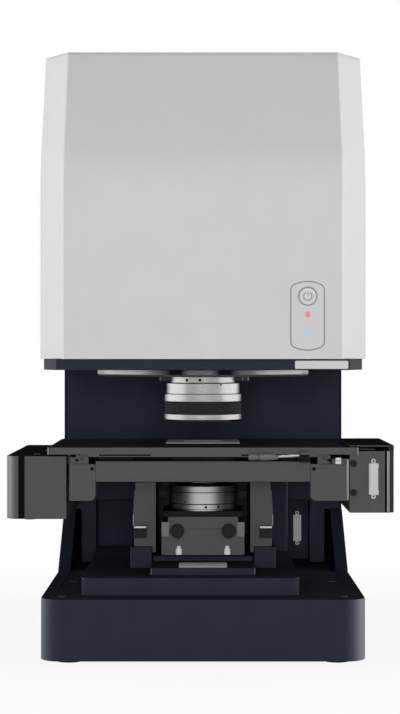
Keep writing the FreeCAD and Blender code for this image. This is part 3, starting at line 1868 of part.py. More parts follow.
def y_motor():
    # at the rear of the left casing, on its back wall
    half = stage_motor_side / 2
    rear = left_box_front + left_box_depth - box_wall
    outline = rectangle((y_screw_x - half, y_screw_x + half), (y_screw_height - half, y_screw_height + half),
                        motor_corner)
    outline = [(u, min(v, left_box_top - box_wall), r) for u, v, r in outline]
    body = front_prism(outline, rear - stage_motor_length, rear)
    start = point(y_screw_x, rear - stage_motor_length - 1, y_screw_height)
    return body.cut(rod(stage_screw_radius + running_clearance, stage_motor_length / 2 + 1, start, back))


def y_screw():
    rear = left_box_front + left_box_depth - box_wall - stage_motor_length / 2 - face_gap
    start = point(y_screw_x, y_screw_front, y_screw_height)
    return rod(stage_screw_radius, rear - y_screw_front, start, back)


def y_screw_bearing():
    # a small pedestal at the front end of the screw, standing on the casing's floor
    start = point(y_screw_x, y_screw_front, y_screw_height)
    floor_top = left_box_bottom + box_wall
    body = block((y_screw_x - y_bearing_half_width, y_screw_x + y_bearing_half_width),
                 (y_screw_front, y_screw_front + y_bearing_depth),
                 (floor_top, y_screw_height + y_bearing_half_width))
    return body.cut(rod(stage_screw_radius + running_clearance, 20, start - back * 6, back))


def y_nut_arm():
    # from the side member through the casing's slot to the screw
    far = y_screw_x - 8.0
    outline = [
        (far, nut_arm_front, 3.0),
        (-left_end_outer, nut_arm_front),
        (-left_end_outer, nut_arm_front + nut_arm_depth),
        (far, nut_arm_front + nut_arm_depth, 3.0),
    ]
    arm = slab(outline, y_screw_height - nut_arm_half_height, y_screw_height + nut_arm_half_height)
    start = point(y_screw_x, nut_arm_front - 1, y_screw_height)
    return arm.cut(rod(stage_screw_radius + running_clearance, nut_arm_depth + 2, start, back))


def right_drive_cover():
    # an open-topped casing whose outer wall rises to a lid; the plate passes between rim and lid
    rear = right_box_front + right_box_depth
    corners = [
        (right_box_inner, right_box_front),
        (right_box_outer - right_box_corner, right_box_front),
        (right_box_outer, right_box_front + right_box_corner),
        (right_box_outer, rear, 3.0),
        (right_box_inner, rear),
    ]
    lid_top = right_lid_bottom + right_lid_thickness
    shell = slab(corners, right_box_bottom, lid_top)
    inner = [
        (right_box_inner + box_wall, right_box_front + box_wall),
        (right_box_outer - right_box_corner - box_wall / 2, right_box_front + box_wall),
        (right_box_outer - box_wall, right_box_front + right_box_corner + box_wall / 2),
        (right_box_outer - box_wall, rear - box_wall),
        (right_box_inner + box_wall, rear - box_wall),
    ]
    cavity = slab(inner, right_box_bottom + box_wall, right_lid_bottom)
    slot = block((right_box_inner - 1, right_box_outer - box_wall),
                 (right_box_front - 1, rear + 1), (right_box_rim, right_lid_bottom))
    screw_hole = rod(stage_screw_radius + 1.0, box_wall + 2,
                     point(right_box_inner - 1, x_screw_y, x_screw_height),
                     across)
    inner_face = right_box_front + box_wall
    holes = [connector_hole(stage_connector_x, right_box_front, inner_face, stage_connector_z)]
    return shell.cut([cavity, slot, screw_hole] + holes)


def x_motor():
    half = stage_motor_side / 2
    left = right_box_inner + box_wall
    outline = rectangle((x_screw_y - half, x_screw_y + half), (x_screw_height - half, x_screw_height + half),
                        motor_corner)
    body = side_prism(outline, left, left + stage_motor_length)
    start = point(left - 1, x_screw_y, x_screw_height)
    return body.cut(rod(stage_screw_radius + running_clearance, stage_motor_length / 2 + 1, start, across))


def x_screw():
    start = -beam_half_length - 18.0 + face_gap
    end = right_box_inner + box_wall + stage_motor_length / 2 - face_gap
    return rod(stage_screw_radius, end - start, point(start, x_screw_y, x_screw_height), across)


def x_nut():
    # a block hanging from the plate round the screw
    side = (x_nut_x - x_nut_half_width, x_nut_x + x_nut_half_width)
    body = block(side, (x_screw_y - x_nut_half_depth, x_screw_y + x_nut_half_depth),
                 (x_screw_height - x_nut_below_screw, plate_bottom))
    start = point(side[0] - 1, x_screw_y, x_screw_height)
    return body.cut(rod(stage_screw_radius + running_clearance, x_nut_half_width * 2 + 2, start, across))


def limit_plug():
    # the small white cable plug on the right end plate
    half = plug_width / 2
    low = end_plate_top
    body = block((plug_x - half, plug_x + half), (frame_front, frame_front + plug_depth),
                 (low, low + plug_height))
    inner = half - plug_wall
    pocket = block((plug_x - inner, plug_x + inner), (frame_front - 1, frame_front + plug_pocket_depth),
                   (low + plug_wall, low + plug_height - plug_wall))
    return body.cut(pocket)


def guide_pins():
    pin = rod(guide_pin_radius, guide_pin_length, point(guide_pin_offset, guide_pin_y, saddle_top))
    return group(both_sides(pin))


def condenser_block():
    # the focusing block: bored for its two pins, the light path and the front knobs
    corners = [
        (-condenser_half_width, condenser_bottom, 0.8),
        (condenser_half_width, condenser_bottom, 0.8),
        (condenser_half_width, condenser_shoulder, 0.8),
        (condenser_neck_half_width, condenser_shoulder),
        (condenser_neck_half_width, condenser_top, 0.8),
        (-condenser_neck_half_width, condenser_top, 0.8),
        (-condenser_neck_half_width, condenser_shoulder),
        (-condenser_half_width, condenser_shoulder, 0.8),
    ]
    body = front_prism(corners, condenser_front, condenser_rear)
    cuts = []
    pin_depth = saddle_top + guide_pin_length + focus_down + 1.0 - condenser_bottom
    pin_bore = rod(guide_pin_radius + running_clearance, pin_depth + 1,
                   point(guide_pin_offset, guide_pin_y, condenser_bottom - 1))
    cuts.extend(both_sides(pin_bore))
    cuts.append(rod(condenser_light_radius, condenser_top, point(0, axis_y, condenser_bottom - 1)))
    knob_bore = rod(knob_shaft_radius + running_clearance, knob_shaft_length + 2,
                    point(knob_offset, condenser_front - 1, knob_height), back)
    cuts.extend(both_sides(knob_bore))
    cuts.extend(condenser_studs().Solids)
    return body.cut(cuts)


def condenser_plate():
    low = condenser_top
    high = condenser_top + condenser_plate_thickness
    half = condenser_plate_half_width
    outline = rectangle((-half, half), (condenser_front + 1.0, condenser_rear), 6.0)
    hole = rod(condenser_light_radius, condenser_plate_thickness * 3, point(0, axis_y, low - 3))
    return slab(outline, low, high).cut(hole)


def condenser_ring():
    # the barrel that holds the condenser's two mirrors
    low = condenser_top + condenser_plate_thickness
    start = low + condenser_ring_gap
    top = start + condenser_ring_height
    radius = condenser_ring_radius
    profile = [
        (condenser_light_radius, low),
        (radius - condenser_ring_step, low),
        (radius - condenser_ring_step, start),
        (radius, start),
    ]
    profile.extend([
        (radius, top - edge_bevel),
        (radius - edge_bevel, top),
        (condenser_ring_bore, top),
        (condenser_ring_bore, start + condenser_shelf_thickness),
        (condenser_light_radius, start + condenser_shelf_thickness),
    ])
    return turned(profile, 0, axis_y)


def condenser_mirrors():
    start = condenser_top + condenser_plate_thickness + condenser_ring_gap
    high = start + condenser_ring_height - condenser_mirror_top_gap
    return group(mirror_pair(0, axis_y, start + condenser_mirror_foot_gap, high, condenser_ring_bore, 1))


def side_screws():
    # knurled centring screws on each side of the barrel
    profile = [
        (0, 0),
        (side_screw_neck_radius, 0),
        (side_screw_neck_radius, side_screw_neck_length),
        (side_screw_radius, side_screw_neck_length),
        (side_screw_radius, side_screw_length),
        (0, side_screw_length),
    ]
    screw = turned(profile, 0, 0)
    screw.rotate(point(0, 0, 0), back, 90)
    screw.translate(point(condenser_ring_radius, axis_y, side_screw_height))
    return group(both_sides(screw))


def condenser_tabs():
    top = condenser_shoulder
    outline = rectangle((tab_inner, condenser_half_width), (tab_bottom, top), 0.6)
    tab = front_prism(outline, condenser_front - tab_thickness, condenser_front)
    return group(both_sides(tab))


def condenser_studs():
    # white plungers let half-way into the block's face
    low = stud_bottom
    profile = [
        (0, low),
        (stud_radius, low),
        (stud_radius, low + stud_body_height),
        (stud_tip_radius, low + stud_body_height),
        (stud_tip_radius, low + stud_height),
        (0, low + stud_height),
    ]
    return group(both_sides(turned(profile, stud_offset, condenser_front)))


def front_knob():
    # a turned knob with a shaft that runs in the block
    profile = [
        (0, 0),
        (knob_radius - 0.8, 0),
        (knob_radius, 0.8),
        (knob_radius, knob_length - 1.0),
        (knob_shaft_radius, knob_length - 1.0),
        (knob_shaft_radius, knob_length + knob_shaft_length),
        (0, knob_length + knob_shaft_length),
    ]
    knob = turned(profile, 0, 0)
    knob.rotate(point(0, 0, 0), across, -90)
    knob.translate(point(knob_offset, condenser_front - knob_length, knob_height))
    return knob


def optics_wall():
    # the upright plate in the head that carries the optical units, with lightening windows
    half = optics_wall_thickness / 2
    low = head_top_face
    top = low + optics_wall_height
    outline = [
        (optics_wall_front, low),
        (optics_wall_rear, low),
        (optics_wall_rear, top, optics_rear_corner),
        (optics_wall_front, top, optics_front_corner),
    ]
    wall = side_prism(outline, -half, half)
    windows = []
    window_low = low + optics_window_bottom
    for number in range(optics_window_count):
        near = optics_wall_front + optics_window_margin + number * optics_window_pitch
        outline = rectangle((near, near + optics_window_length),
                            (window_low, window_low + optics_window_height),
                            optics_window_corner)
        windows.append(side_prism(outline, -half * 2, half * 2))
    return wall.cut(windows)


def aperture_unit():
    # the four-blade aperture over the objective: a bored housing on legs
    low = head_top_face
    bottom = low + aperture_bottom_gap
    half = aperture_half_width
    leg_offset = half - aperture_leg_inset
    hood_outline = rectangle((-half, half), (axis_y - half, axis_y + half), aperture_corner)
    hood = slab(hood_outline, bottom, bottom + aperture_height)
    legs = []
    for x in (-leg_offset, leg_offset):
        for y in (axis_y - leg_offset, axis_y + leg_offset):
            legs.append(rod(aperture_leg_radius, aperture_bottom_gap, point(x, y, low)))
    bore = rod(aperture_hole_radius, aperture_height * 3, point(0, axis_y, bottom - aperture_height))
    slot_low = bottom + (aperture_height - aperture_slot_height) / 2
    slots = []
    for turn in (0, 90):
        slot = block((-half * 1.5, -half + aperture_slot_depth),
                     (axis_y - aperture_slot_half_width, axis_y + aperture_slot_half_width),
                     (slot_low, slot_low + aperture_slot_height))
        slot.rotate(point(0, axis_y, 0), up, turn)
        slots.append(slot)
    return joined([hood] + legs).cut([bore] + slots)


def viewing_camera():
    # a camera over the aperture unit, looking down the axis
    low = head_top_face + aperture_bottom_gap + aperture_height
    half = camera_half_width
    lens = pipe(camera_lens_radius, camera_lens_radius - camera_lens_wall, camera_lens_length,
                point(0, axis_y, low))
    outline = rectangle((-half, half), (axis_y - half, axis_y + half), camera_corner)
    body = slab(outline, low + camera_lens_length, low + camera_lens_length + camera_height)
    return joined([lens, body])


def detector_dewar():
    # a vacuum flask for the cooled detector, with its filling neck
    low = head_top_face
    top = low + dewar_height
    foot = dewar_radius + dewar_flange_width
    throat = dewar_neck_radius - dewar_neck_wall
    profile = [
        (0, low),
        (foot, low),
        (foot, low + dewar_flange_thickness),
        (dewar_radius, low + dewar_flange_thickness),
        (dewar_radius, top - dewar_shoulder_drop),
        (dewar_neck_radius, top),
        (dewar_neck_radius, top + dewar_neck_height),
        (throat, top + dewar_neck_height),
        (throat, low + dewar_well_bottom),
        (0, low + dewar_well_bottom),
    ]
    return turned(profile, dewar_x, dewar_y)


def relay_mirrors():
    # slanted mirrors on stands that fold the beam from the column to the aperture
    stands = []
    low = head_top_face
    base = low + relay_base_thickness
    top = base + relay_mirror_height
    size = relay_half_depth
    for y, lean in ((relay_front_y, -relay_lean), (relay_rear_y, relay_lean)):
        outline = [
            (y - size, low),
            (y + size, low),
            (y + size, base),
            (y + relay_mirror_half_thickness - lean, base),
            (y + relay_mirror_half_thickness + lean, top),
            (y - relay_mirror_half_thickness + lean, top),
            (y - relay_mirror_half_thickness - lean, base),
            (y - size, base),
        ]
        stands.append(side_prism(outline, relay_x - relay_half_width, relay_x + relay_half_width))
    return group(stands)


def control_board():
    # a circuit board on stand-offs behind the column's recess
    front = column_front + recess_depth + recess_wall
    face = front + board_stand_off
    rear = face + board_thickness
    low = base_top + board_above_base
    board = block((-board_half_width, board_half_width), (face, rear), (low, low + board_height))
    pillar_x = board_half_width - board_pillar_inset
    pieces = [board]
    for x in (-pillar_x, pillar_x):
        start = point(x, front, low + board_pillar_inset)
        pieces.append(rod(board_stand_off_radius, board_stand_off, start, back))
    for column in range(board_chip_count):
        x = board_first_chip + column * board_chip_pitch
        pieces.append(block((x, x + board_chip_size), (rear, rear + board_chip_thickness),
                            (low + board_chip_bottom, low + board_chip_bottom + board_chip_size)))
    return joined(pieces)


def power_supply():
    # a vented box on the column floor
    rear = panel_face - inlet_depth - supply_behind_gap
    front = rear - supply_depth
    left = supply_x - supply_half_width
    top = base_top + supply_height
    box = slab(rectangle((left, supply_x + supply_half_width), (front, rear), supply_corner), base_top, top)
    slots = []
    for number in range(supply_slot_count):
        near = left + supply_slot_margin + number * supply_slot_pitch
        slots.append(block((near, near + supply_slot_width),
                           (front + supply_slot_margin, rear - supply_slot_margin),
                           (top - supply_slot_depth, top + supply_slot_depth)))
    return box.cut(slots)




def mains_inlet():
    return group([power_inlet(), switch_frame()])


def stand_connectors():
    plugs = [upright_connector(base_connector_x, column_front + recess_depth, base_connector_z)]
    for x in rear_connector_positions:
        plugs.append(upright_connector(x, panel_face, rear_connector_z, 1))
    return group(plugs)


def stand_pieces():
    shell = cover_shell()
    return {
        "base_housing": base_housing(),
        "base_cover": base_cover().cut(base_socket_cuts()),
        "base_floor": base_floor(),
        "base_screws": base_screws().cut(base_socket_cuts()),
        "rubber_feet": feet(),
        "pedestal": pedestal(),
        "pedestal_blocks": group([condenser_saddle(), guide_blocks()]),
        "slide_plate": slide_plate(),
        "lift_tower": tower(),
        "lift_guides": group([lift_rails(), guide_pins()]),
        "lift_drive": group([lift_motor(), lift_screw_bearing()]),
        "column_shell": group([column_shell(), gussets()]),
        "stand_connectors": stand_connectors(),
        "beam_port_flange": beam_port_flange(),
        "rear_panel": rear_panel(),
        "mains_inlet": mains_inlet(),
        "electronics": group([control_board(), power_supply()]),
        "head_plate": head_plate(),
        "main_cover": main_cover(shell),
        "front_cover": front_cover(shell),
        "control_panel": group([control_panel(), button_switch()]),
        "indicator_lamps": group([indicator_lamp(height) for height in lamp_heights]),
        "optical_bench": group([optics_wall(), relay_mirrors()]),
        "aperture_unit": aperture_unit(),
        "viewing_camera": viewing_camera(),
        "detector_dewar": detector_dewar(),
        "turret_axle": turret_axle(),
    }


def turret_pieces():
    return {
        "turret_disc": turret_disc(),
        "port_caps": port_caps(),
        "objective_holder": objective_holder(),
        "objective_barrel": group([objective_barrel(), objective_nose()]),
        "objective_mirrors": objective_mirrors(),
        "grip_ring": grip_ring(),
    }


def lifting_pieces():
    return {
        "uprights": group(both_sides(upright()) + both_sides(stop_block())),
        "crosshead": crosshead(),
        "stage_floor": group([stage_floor(), y_rails()]),
        "left_drive_cover": left_drive_cover(),
        "y_drive": group([left_drive_floor(), y_motor(), y_screw_bearing()]),
        "lift_screw": lift_screw(),
        "y_screw": y_screw(),
    }


def frame_pieces():
    return {
        "stage_frame": group([front_beam(), rear_beam(), left_end_plate(), right_end_plate()]),
        "frame_runners": group([x_rails(), rail_clips(), y_carriages(), y_nut_arm()]),
        "right_drive_cover": right_drive_cover(),
        "stage_connectors": group([upright_connector(stage_connector_x, right_box_front, stage_connector_z),
                                   limit_plug()]),
        "x_motor": x_motor(),
        "x_screw": x_screw(),
    }


def plate_pieces():
    return {
        "stage_plate": stage_plate(),
        "plate_runners": group([x_carriages(), x_nut(), lever_lug()]),
        "stage_insert": stage_insert(),
        "specimen_holder": specimen_holder(),
        "sample_lever": sample_lever(),
    }


def condenser_pieces():
    knob = front_knob()
    return {
        "condenser_block": condenser_block(),
        "condenser_plate": group([condenser_plate(), side_screws()]),
        "condenser_ring": condenser_ring(),
        "condenser_mirrors": condenser_mirrors(),
        "condenser_fittings": group([condenser_tabs(), condenser_studs()]),
        "right_knob": knob,
        "left_knob": mirrored(knob),
        "power_button": power_button(),
        "mains_rocker": mains_rocker(),
    }


def main():
    # the origin is the middle of the outer box, on the table
    shift = point((left_box_outer - right_box_outer) / 2, -base_depth / 2, 0)
    os.makedirs("parts", exist_ok=True)
    for pieces in (stand_pieces(), turret_pieces(), lifting_pieces(), frame_pieces(), plate_pieces(),
                   condenser_pieces()):
        for name, shape in pieces.items():
            shape.translate(shift)
            shape.exportStep("parts/" + name + ".step")


main()
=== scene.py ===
import bmesh
import bpy
import json
import math
from mathutils import Matrix, Vector


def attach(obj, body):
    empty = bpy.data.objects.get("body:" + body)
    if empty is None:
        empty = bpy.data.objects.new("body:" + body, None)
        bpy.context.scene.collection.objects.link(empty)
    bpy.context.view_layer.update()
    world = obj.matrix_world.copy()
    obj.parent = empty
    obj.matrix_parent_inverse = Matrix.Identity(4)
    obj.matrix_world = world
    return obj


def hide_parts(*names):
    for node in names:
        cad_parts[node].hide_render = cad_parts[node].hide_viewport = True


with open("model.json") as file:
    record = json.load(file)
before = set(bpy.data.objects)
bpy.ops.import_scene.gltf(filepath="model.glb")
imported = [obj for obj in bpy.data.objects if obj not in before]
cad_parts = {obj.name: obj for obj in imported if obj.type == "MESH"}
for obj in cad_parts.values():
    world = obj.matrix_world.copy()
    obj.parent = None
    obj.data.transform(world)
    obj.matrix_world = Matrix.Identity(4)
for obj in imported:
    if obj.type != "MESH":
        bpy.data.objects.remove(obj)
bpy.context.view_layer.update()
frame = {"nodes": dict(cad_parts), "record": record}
print("frame loaded:", len(frame["nodes"]), "parts")

# Drawing millimetres: x from the optical axis, y from the front of the base, z from the table
frameShift = Vector((2.9, -270.0, 0.0))


def spot(x, y, z):
    # drawing millimetres to the frame's metres
    return (Vector((x, y, z)) + frameShift) / 1000


def linearColour(hexCode):
    # a screen colour such as "C7C7C7" as the linear values that a shader takes
    channels = []
    for start in (0, 2, 4):
        value = int(hexCode[start:start + 2], 16) / 255
        channels.append(value / 12.92 if value <= 0.04045 else ((value + 0.055) / 1.055) ** 2.4)
    return (*channels, 1.0)


def addNode(tree, kind, values=None, links=None, **settings):
    node = tree.nodes.new(kind)
    for option, value in settings.items():
        setattr(node, option, value)
    for socket, value in (values or {}).items():
        node.inputs[socket].default_value = value
    for socket, source in (links or {}).items():
        tree.links.new(source, node.inputs[socket])
    return node


def startFinish(name, colour, roughness, metallic=0.0, specular=0.5, **more):
    # a material with its shader and the place on the piece, for the patterns that follow
    material = bpy.data.materials.new(name)
    material.use_nodes = True
    tree = material.node_tree
    tree.nodes.clear()
    shader = addNode(tree, "ShaderNodeBsdfPrincipled", {
        "Base Color": linearColour(colour), "Roughness": roughness, "Metallic": metallic,
        "Specular IOR Level": specular, **more})
    addNode(tree, "ShaderNodeOutputMaterial", links={"Surface": shader.outputs["BSDF"]})
    where = addNode(tree, "ShaderNodeTexCoord").outputs["Object"]
    return material, tree, shader, where


def paintBetween(tree, shader, pattern, colour, darker, lighter):
    # the colour swings a little round its own value as the pattern does
    ramp = addNode(tree, "ShaderNodeValToRGB", links={"Fac": pattern})
    for stop, position, factor in zip(ramp.color_ramp.elements, (0.3, 0.7), (darker, lighter)):
        stop.position = position
        stop.color = [min(1, channel * factor) for channel in linearColour(colour)[:3]] + [1]
    tree.links.new(ramp.outputs["Color"], shader.inputs["Base Color"])
    return ramp


def acrossWidth(tree, where, stops):
    # colours by the distance to the left or right of the middle, in mm: it paints highlights and reflections
    # that change across a rounded corner or a disc
    widest = stops[-1][0]
    sides = addNode(tree, "ShaderNodeSeparateXYZ", links={"Vector": where})
    away = addNode(tree, "ShaderNodeMath", links={0: sides.outputs["X"]}, operation="ABSOLUTE")
    scaled = addNode(tree, "ShaderNodeMath", {1: 1000 / widest}, {0: away.outputs[0]}, operation="MULTIPLY")
    ramp = addNode(tree, "ShaderNodeValToRGB", links={"Fac": scaled.outputs[0]})
    for number, (distance, hexCode) in enumerate(stops):
        place = distance / widest
        stop = ramp.color_ramp.elements[number] if number < 2 else ramp.color_ramp.elements.new(place)
        stop.position = place
        stop.color = linearColour(hexCode)
    return ramp.outputs["Color"]


def grainAndTone(tree, shader, where, colour, roughness, tone, grain, depth, patchSize=0.03):
    # lighter and darker patches, a fine grain in relief, and a roughness that drifts
    patches = addNode(tree, "ShaderNodeTexNoise", {"Scale": 1 / patchSize, "Detail": 4.0}, {"Vector": where})
    fine = addNode(tree, "ShaderNodeTexNoise", {"Scale": 1 / grain, "Detail": 2.0}, {"Vector": where})
    paintBetween(tree, shader, patches.outputs["Fac"], colour, 1 - tone, 1 + tone)
    drift = addNode(tree, "ShaderNodeMapRange", {"To Min": roughness - 0.04, "To Max": roughness + 0.05},
                    {"Value": patches.outputs["Fac"]})
    tree.links.new(drift.outputs["Result"], shader.inputs["Roughness"])
    relief = addNode(tree, "ShaderNodeBump", {"Strength": 0.35, "Distance": depth},
                     {"Height": fine.outputs["Fac"]})
    tree.links.new(relief.outputs["Normal"], shader.inputs["Normal"])


def powderCoat(name, colour, roughness, specular=0.3, across=()):
    # powder-coated sheet steel: low sheen with a faint orange peel about 1.2 mm across
    material, tree, shader, where = startFinish(name, colour, roughness, specular=specular)
    grainAndTone(tree, shader, where, colour, roughness, tone=0.06, grain=0.0012, depth=0.00006)
    # across paints a highlight that grows across a rounded corner
    if across:
        tree.links.new(acrossWidth(tree, where, across), shader.inputs["Base Color"])
    return material


def mouldedPlastic(name, colour, roughness, specular=0.35, grain=0.0009):
    # moulded ABS: even colour, spark-eroded grain drawn about 0.9 mm wide so that it still shows
    material, tree, shader, where = startFinish(name, colour, roughness, specular=specular)
    grainAndTone(tree, shader, where, colour, roughness, tone=0.012, grain=grain, depth=0.00004)
    return material


def anodised(name, colour, roughness, metallic=0.3, specular=0.3, tone=0.05, across=()):
    # bead-blasted anodised aluminium: a matt metal with a fine even grain
    material, tree, shader, where = startFinish(name, colour, roughness, metallic, specular)
    grainAndTone(tree, shader, where, colour, roughness, tone=tone, grain=0.0007, depth=0.00003)
    # across paints a highlight that changes across a rounded corner
    if across:
        tree.links.new(acrossWidth(tree, where, across), shader.inputs["Base Color"])
    return material


def turnedMetal(name, colour, roughness, axis, rings=False, depth=0.00003, across=()):
    # aluminium or steel off the lathe: fine lines 0.6 mm wide round the axis, dull and bright by turns
    lineWidth = 0.0006
    material, tree, shader, where = startFinish(name, colour, roughness, 1.0, Anisotropic=0.5)
    centred = addNode(tree, "ShaderNodeMapping", {"Location": -spot(*axis, 0)}, {"Vector": where})
    lines = addNode(tree, "ShaderNodeTexWave", {
        "Scale": 0.314 / (2 * lineWidth), "Distortion": 1.5, "Detail": 2.0, "Detail Scale": 2.0},
        {"Vector": centred.outputs["Vector"]}, wave_type="RINGS" if rings else "BANDS", rings_direction="Z",
        bands_direction="Z")
    patches = addNode(tree, "ShaderNodeTexNoise", {"Scale": 60.0, "Detail": 3.0}, {"Vector": where})
    paint = paintBetween(tree, shader, patches.outputs["Fac"], colour, 0.94, 1.0)
    # across paints bands of reflection by the distance from the middle
    if across:
        paintedBands = acrossWidth(tree, where, across)
        product = addNode(tree, "ShaderNodeVectorMath", links={0: paint.outputs["Color"], 1: paintedBands},
                          operation="MULTIPLY")
        tree.links.new(product.outputs[0], shader.inputs["Base Color"])
    drift = addNode(tree, "ShaderNodeMapRange", {"To Min": roughness - 0.05, "To Max": roughness + 0.07},
                    {"Value": lines.outputs["Fac"]})
    tree.links.new(drift.outputs["Result"], shader.inputs["Roughness"])
    relief = addNode(tree, "ShaderNodeBump", {"Strength": 0.3, "Distance": depth},
                     {"Height": lines.outputs["Fac"]})
    tree.links.new(relief.outputs["Normal"], shader.inputs["Normal"])
    return material


def groundMetal(name, colour, roughness=0.32, stretch=(12.0, 1.0, 12.0), metallic=1.0):
    # ground or brushed metal: scratches drawn out along one way, 0.3 to 0.4 mm apart
    material, tree, shader, where = startFinish(name, colour, roughness, metallic)
    drawn = addNode(tree, "ShaderNodeMapping", {"Scale": stretch}, {"Vector": where})
    scratches = addNode(tree, "ShaderNodeTexNoise", {"Scale": 220.0, "Detail": 3.0},
                        {"Vector": drawn.outputs["Vector"]})
    paintBetween(tree, shader, scratches.outputs["Fac"], colour, 0.86, 1.0)
    drift = addNode(tree, "ShaderNodeMapRange", {"To Min": roughness - 0.06, "To Max": roughness + 0.1},
                    {"Value": scratches.outputs["Fac"]})
    tree.links.new(drift.outputs["Result"], shader.inputs["Roughness"])
    relief = addNode(tree, "ShaderNodeBump", {"Strength": 0.2, "Distance": 0.00002},
                     {"Height": scratches.outputs["Fac"]})
    tree.links.new(relief.outputs["Normal"], shader.inputs["Normal"])
    return material


def facingPaintedChrome(name, bright, between, dark, roughness, axis):
    # dark plated brass with a painted reflection: a narrow light band painted where it faces the eye, nearly
    # black where it turns away, for the dark parts round it
    material, tree, shader, where = startFinish(name, dark, roughness, 1.0)
    facing = addNode(tree, "ShaderNodeLayerWeight", {"Blend": 0.5})
    centred = addNode(tree, "ShaderNodeMapping", {"Location": -spot(*axis, 0)}, {"Vector": where})
    lines = addNode(tree, "ShaderNodeTexWave", {"Scale": 260.0, "Distortion": 1.0, "Detail": 2.0},
                    {"Vector": centred.outputs["Vector"]}, bands_direction="Z")
    ramp = addNode(tree, "ShaderNodeValToRGB", links={"Fac": facing.outputs["Facing"]})
    for stop, position, hexCode in zip(ramp.color_ramp.elements, (0.02, 0.24), (bright, dark)):
        stop.position = position
        stop.color = linearColour(hexCode)
    ramp.color_ramp.elements.new(0.11).color = linearColour(between)
    tree.links.new(ramp.outputs["Color"], shader.inputs["Base Color"])
    drift = addNode(tree, "ShaderNodeMapRange", {"To Min": roughness - 0.05, "To Max": roughness + 0.06},
                    {"Value": lines.outputs["Fac"]})
    tree.links.new(drift.outputs["Result"], shader.inputs["Roughness"])
    return material


def ribbedRubber(name, colour, roughness=0.75):
    # moulded rubber: dull, with a powdery bloom in patches
    material, tree, shader, where = startFinish(name, colour, roughness, specular=0.25)
    grainAndTone(tree, shader, where, colour, roughness, tone=0.12, grain=0.0008, depth=0.00005,
                 patchSize=0.012)
    return material


def lampLens(name, colour, glow):
    # a lit diffusing lens: the colour comes from inside, with a faint speckle
    material, tree, shader, where = startFinish(name, colour, 0.25, **{"Emission Strength": glow})
    speckle = addNode(tree, "ShaderNodeTexNoise", {"Scale": 900.0}, {"Vector": where})
    ramp = paintBetween(tree, shader, speckle.outputs["Fac"], colour, 0.85, 1.0)
    tree.links.new(ramp.outputs["Color"], shader.inputs["Emission Color"])
    return material


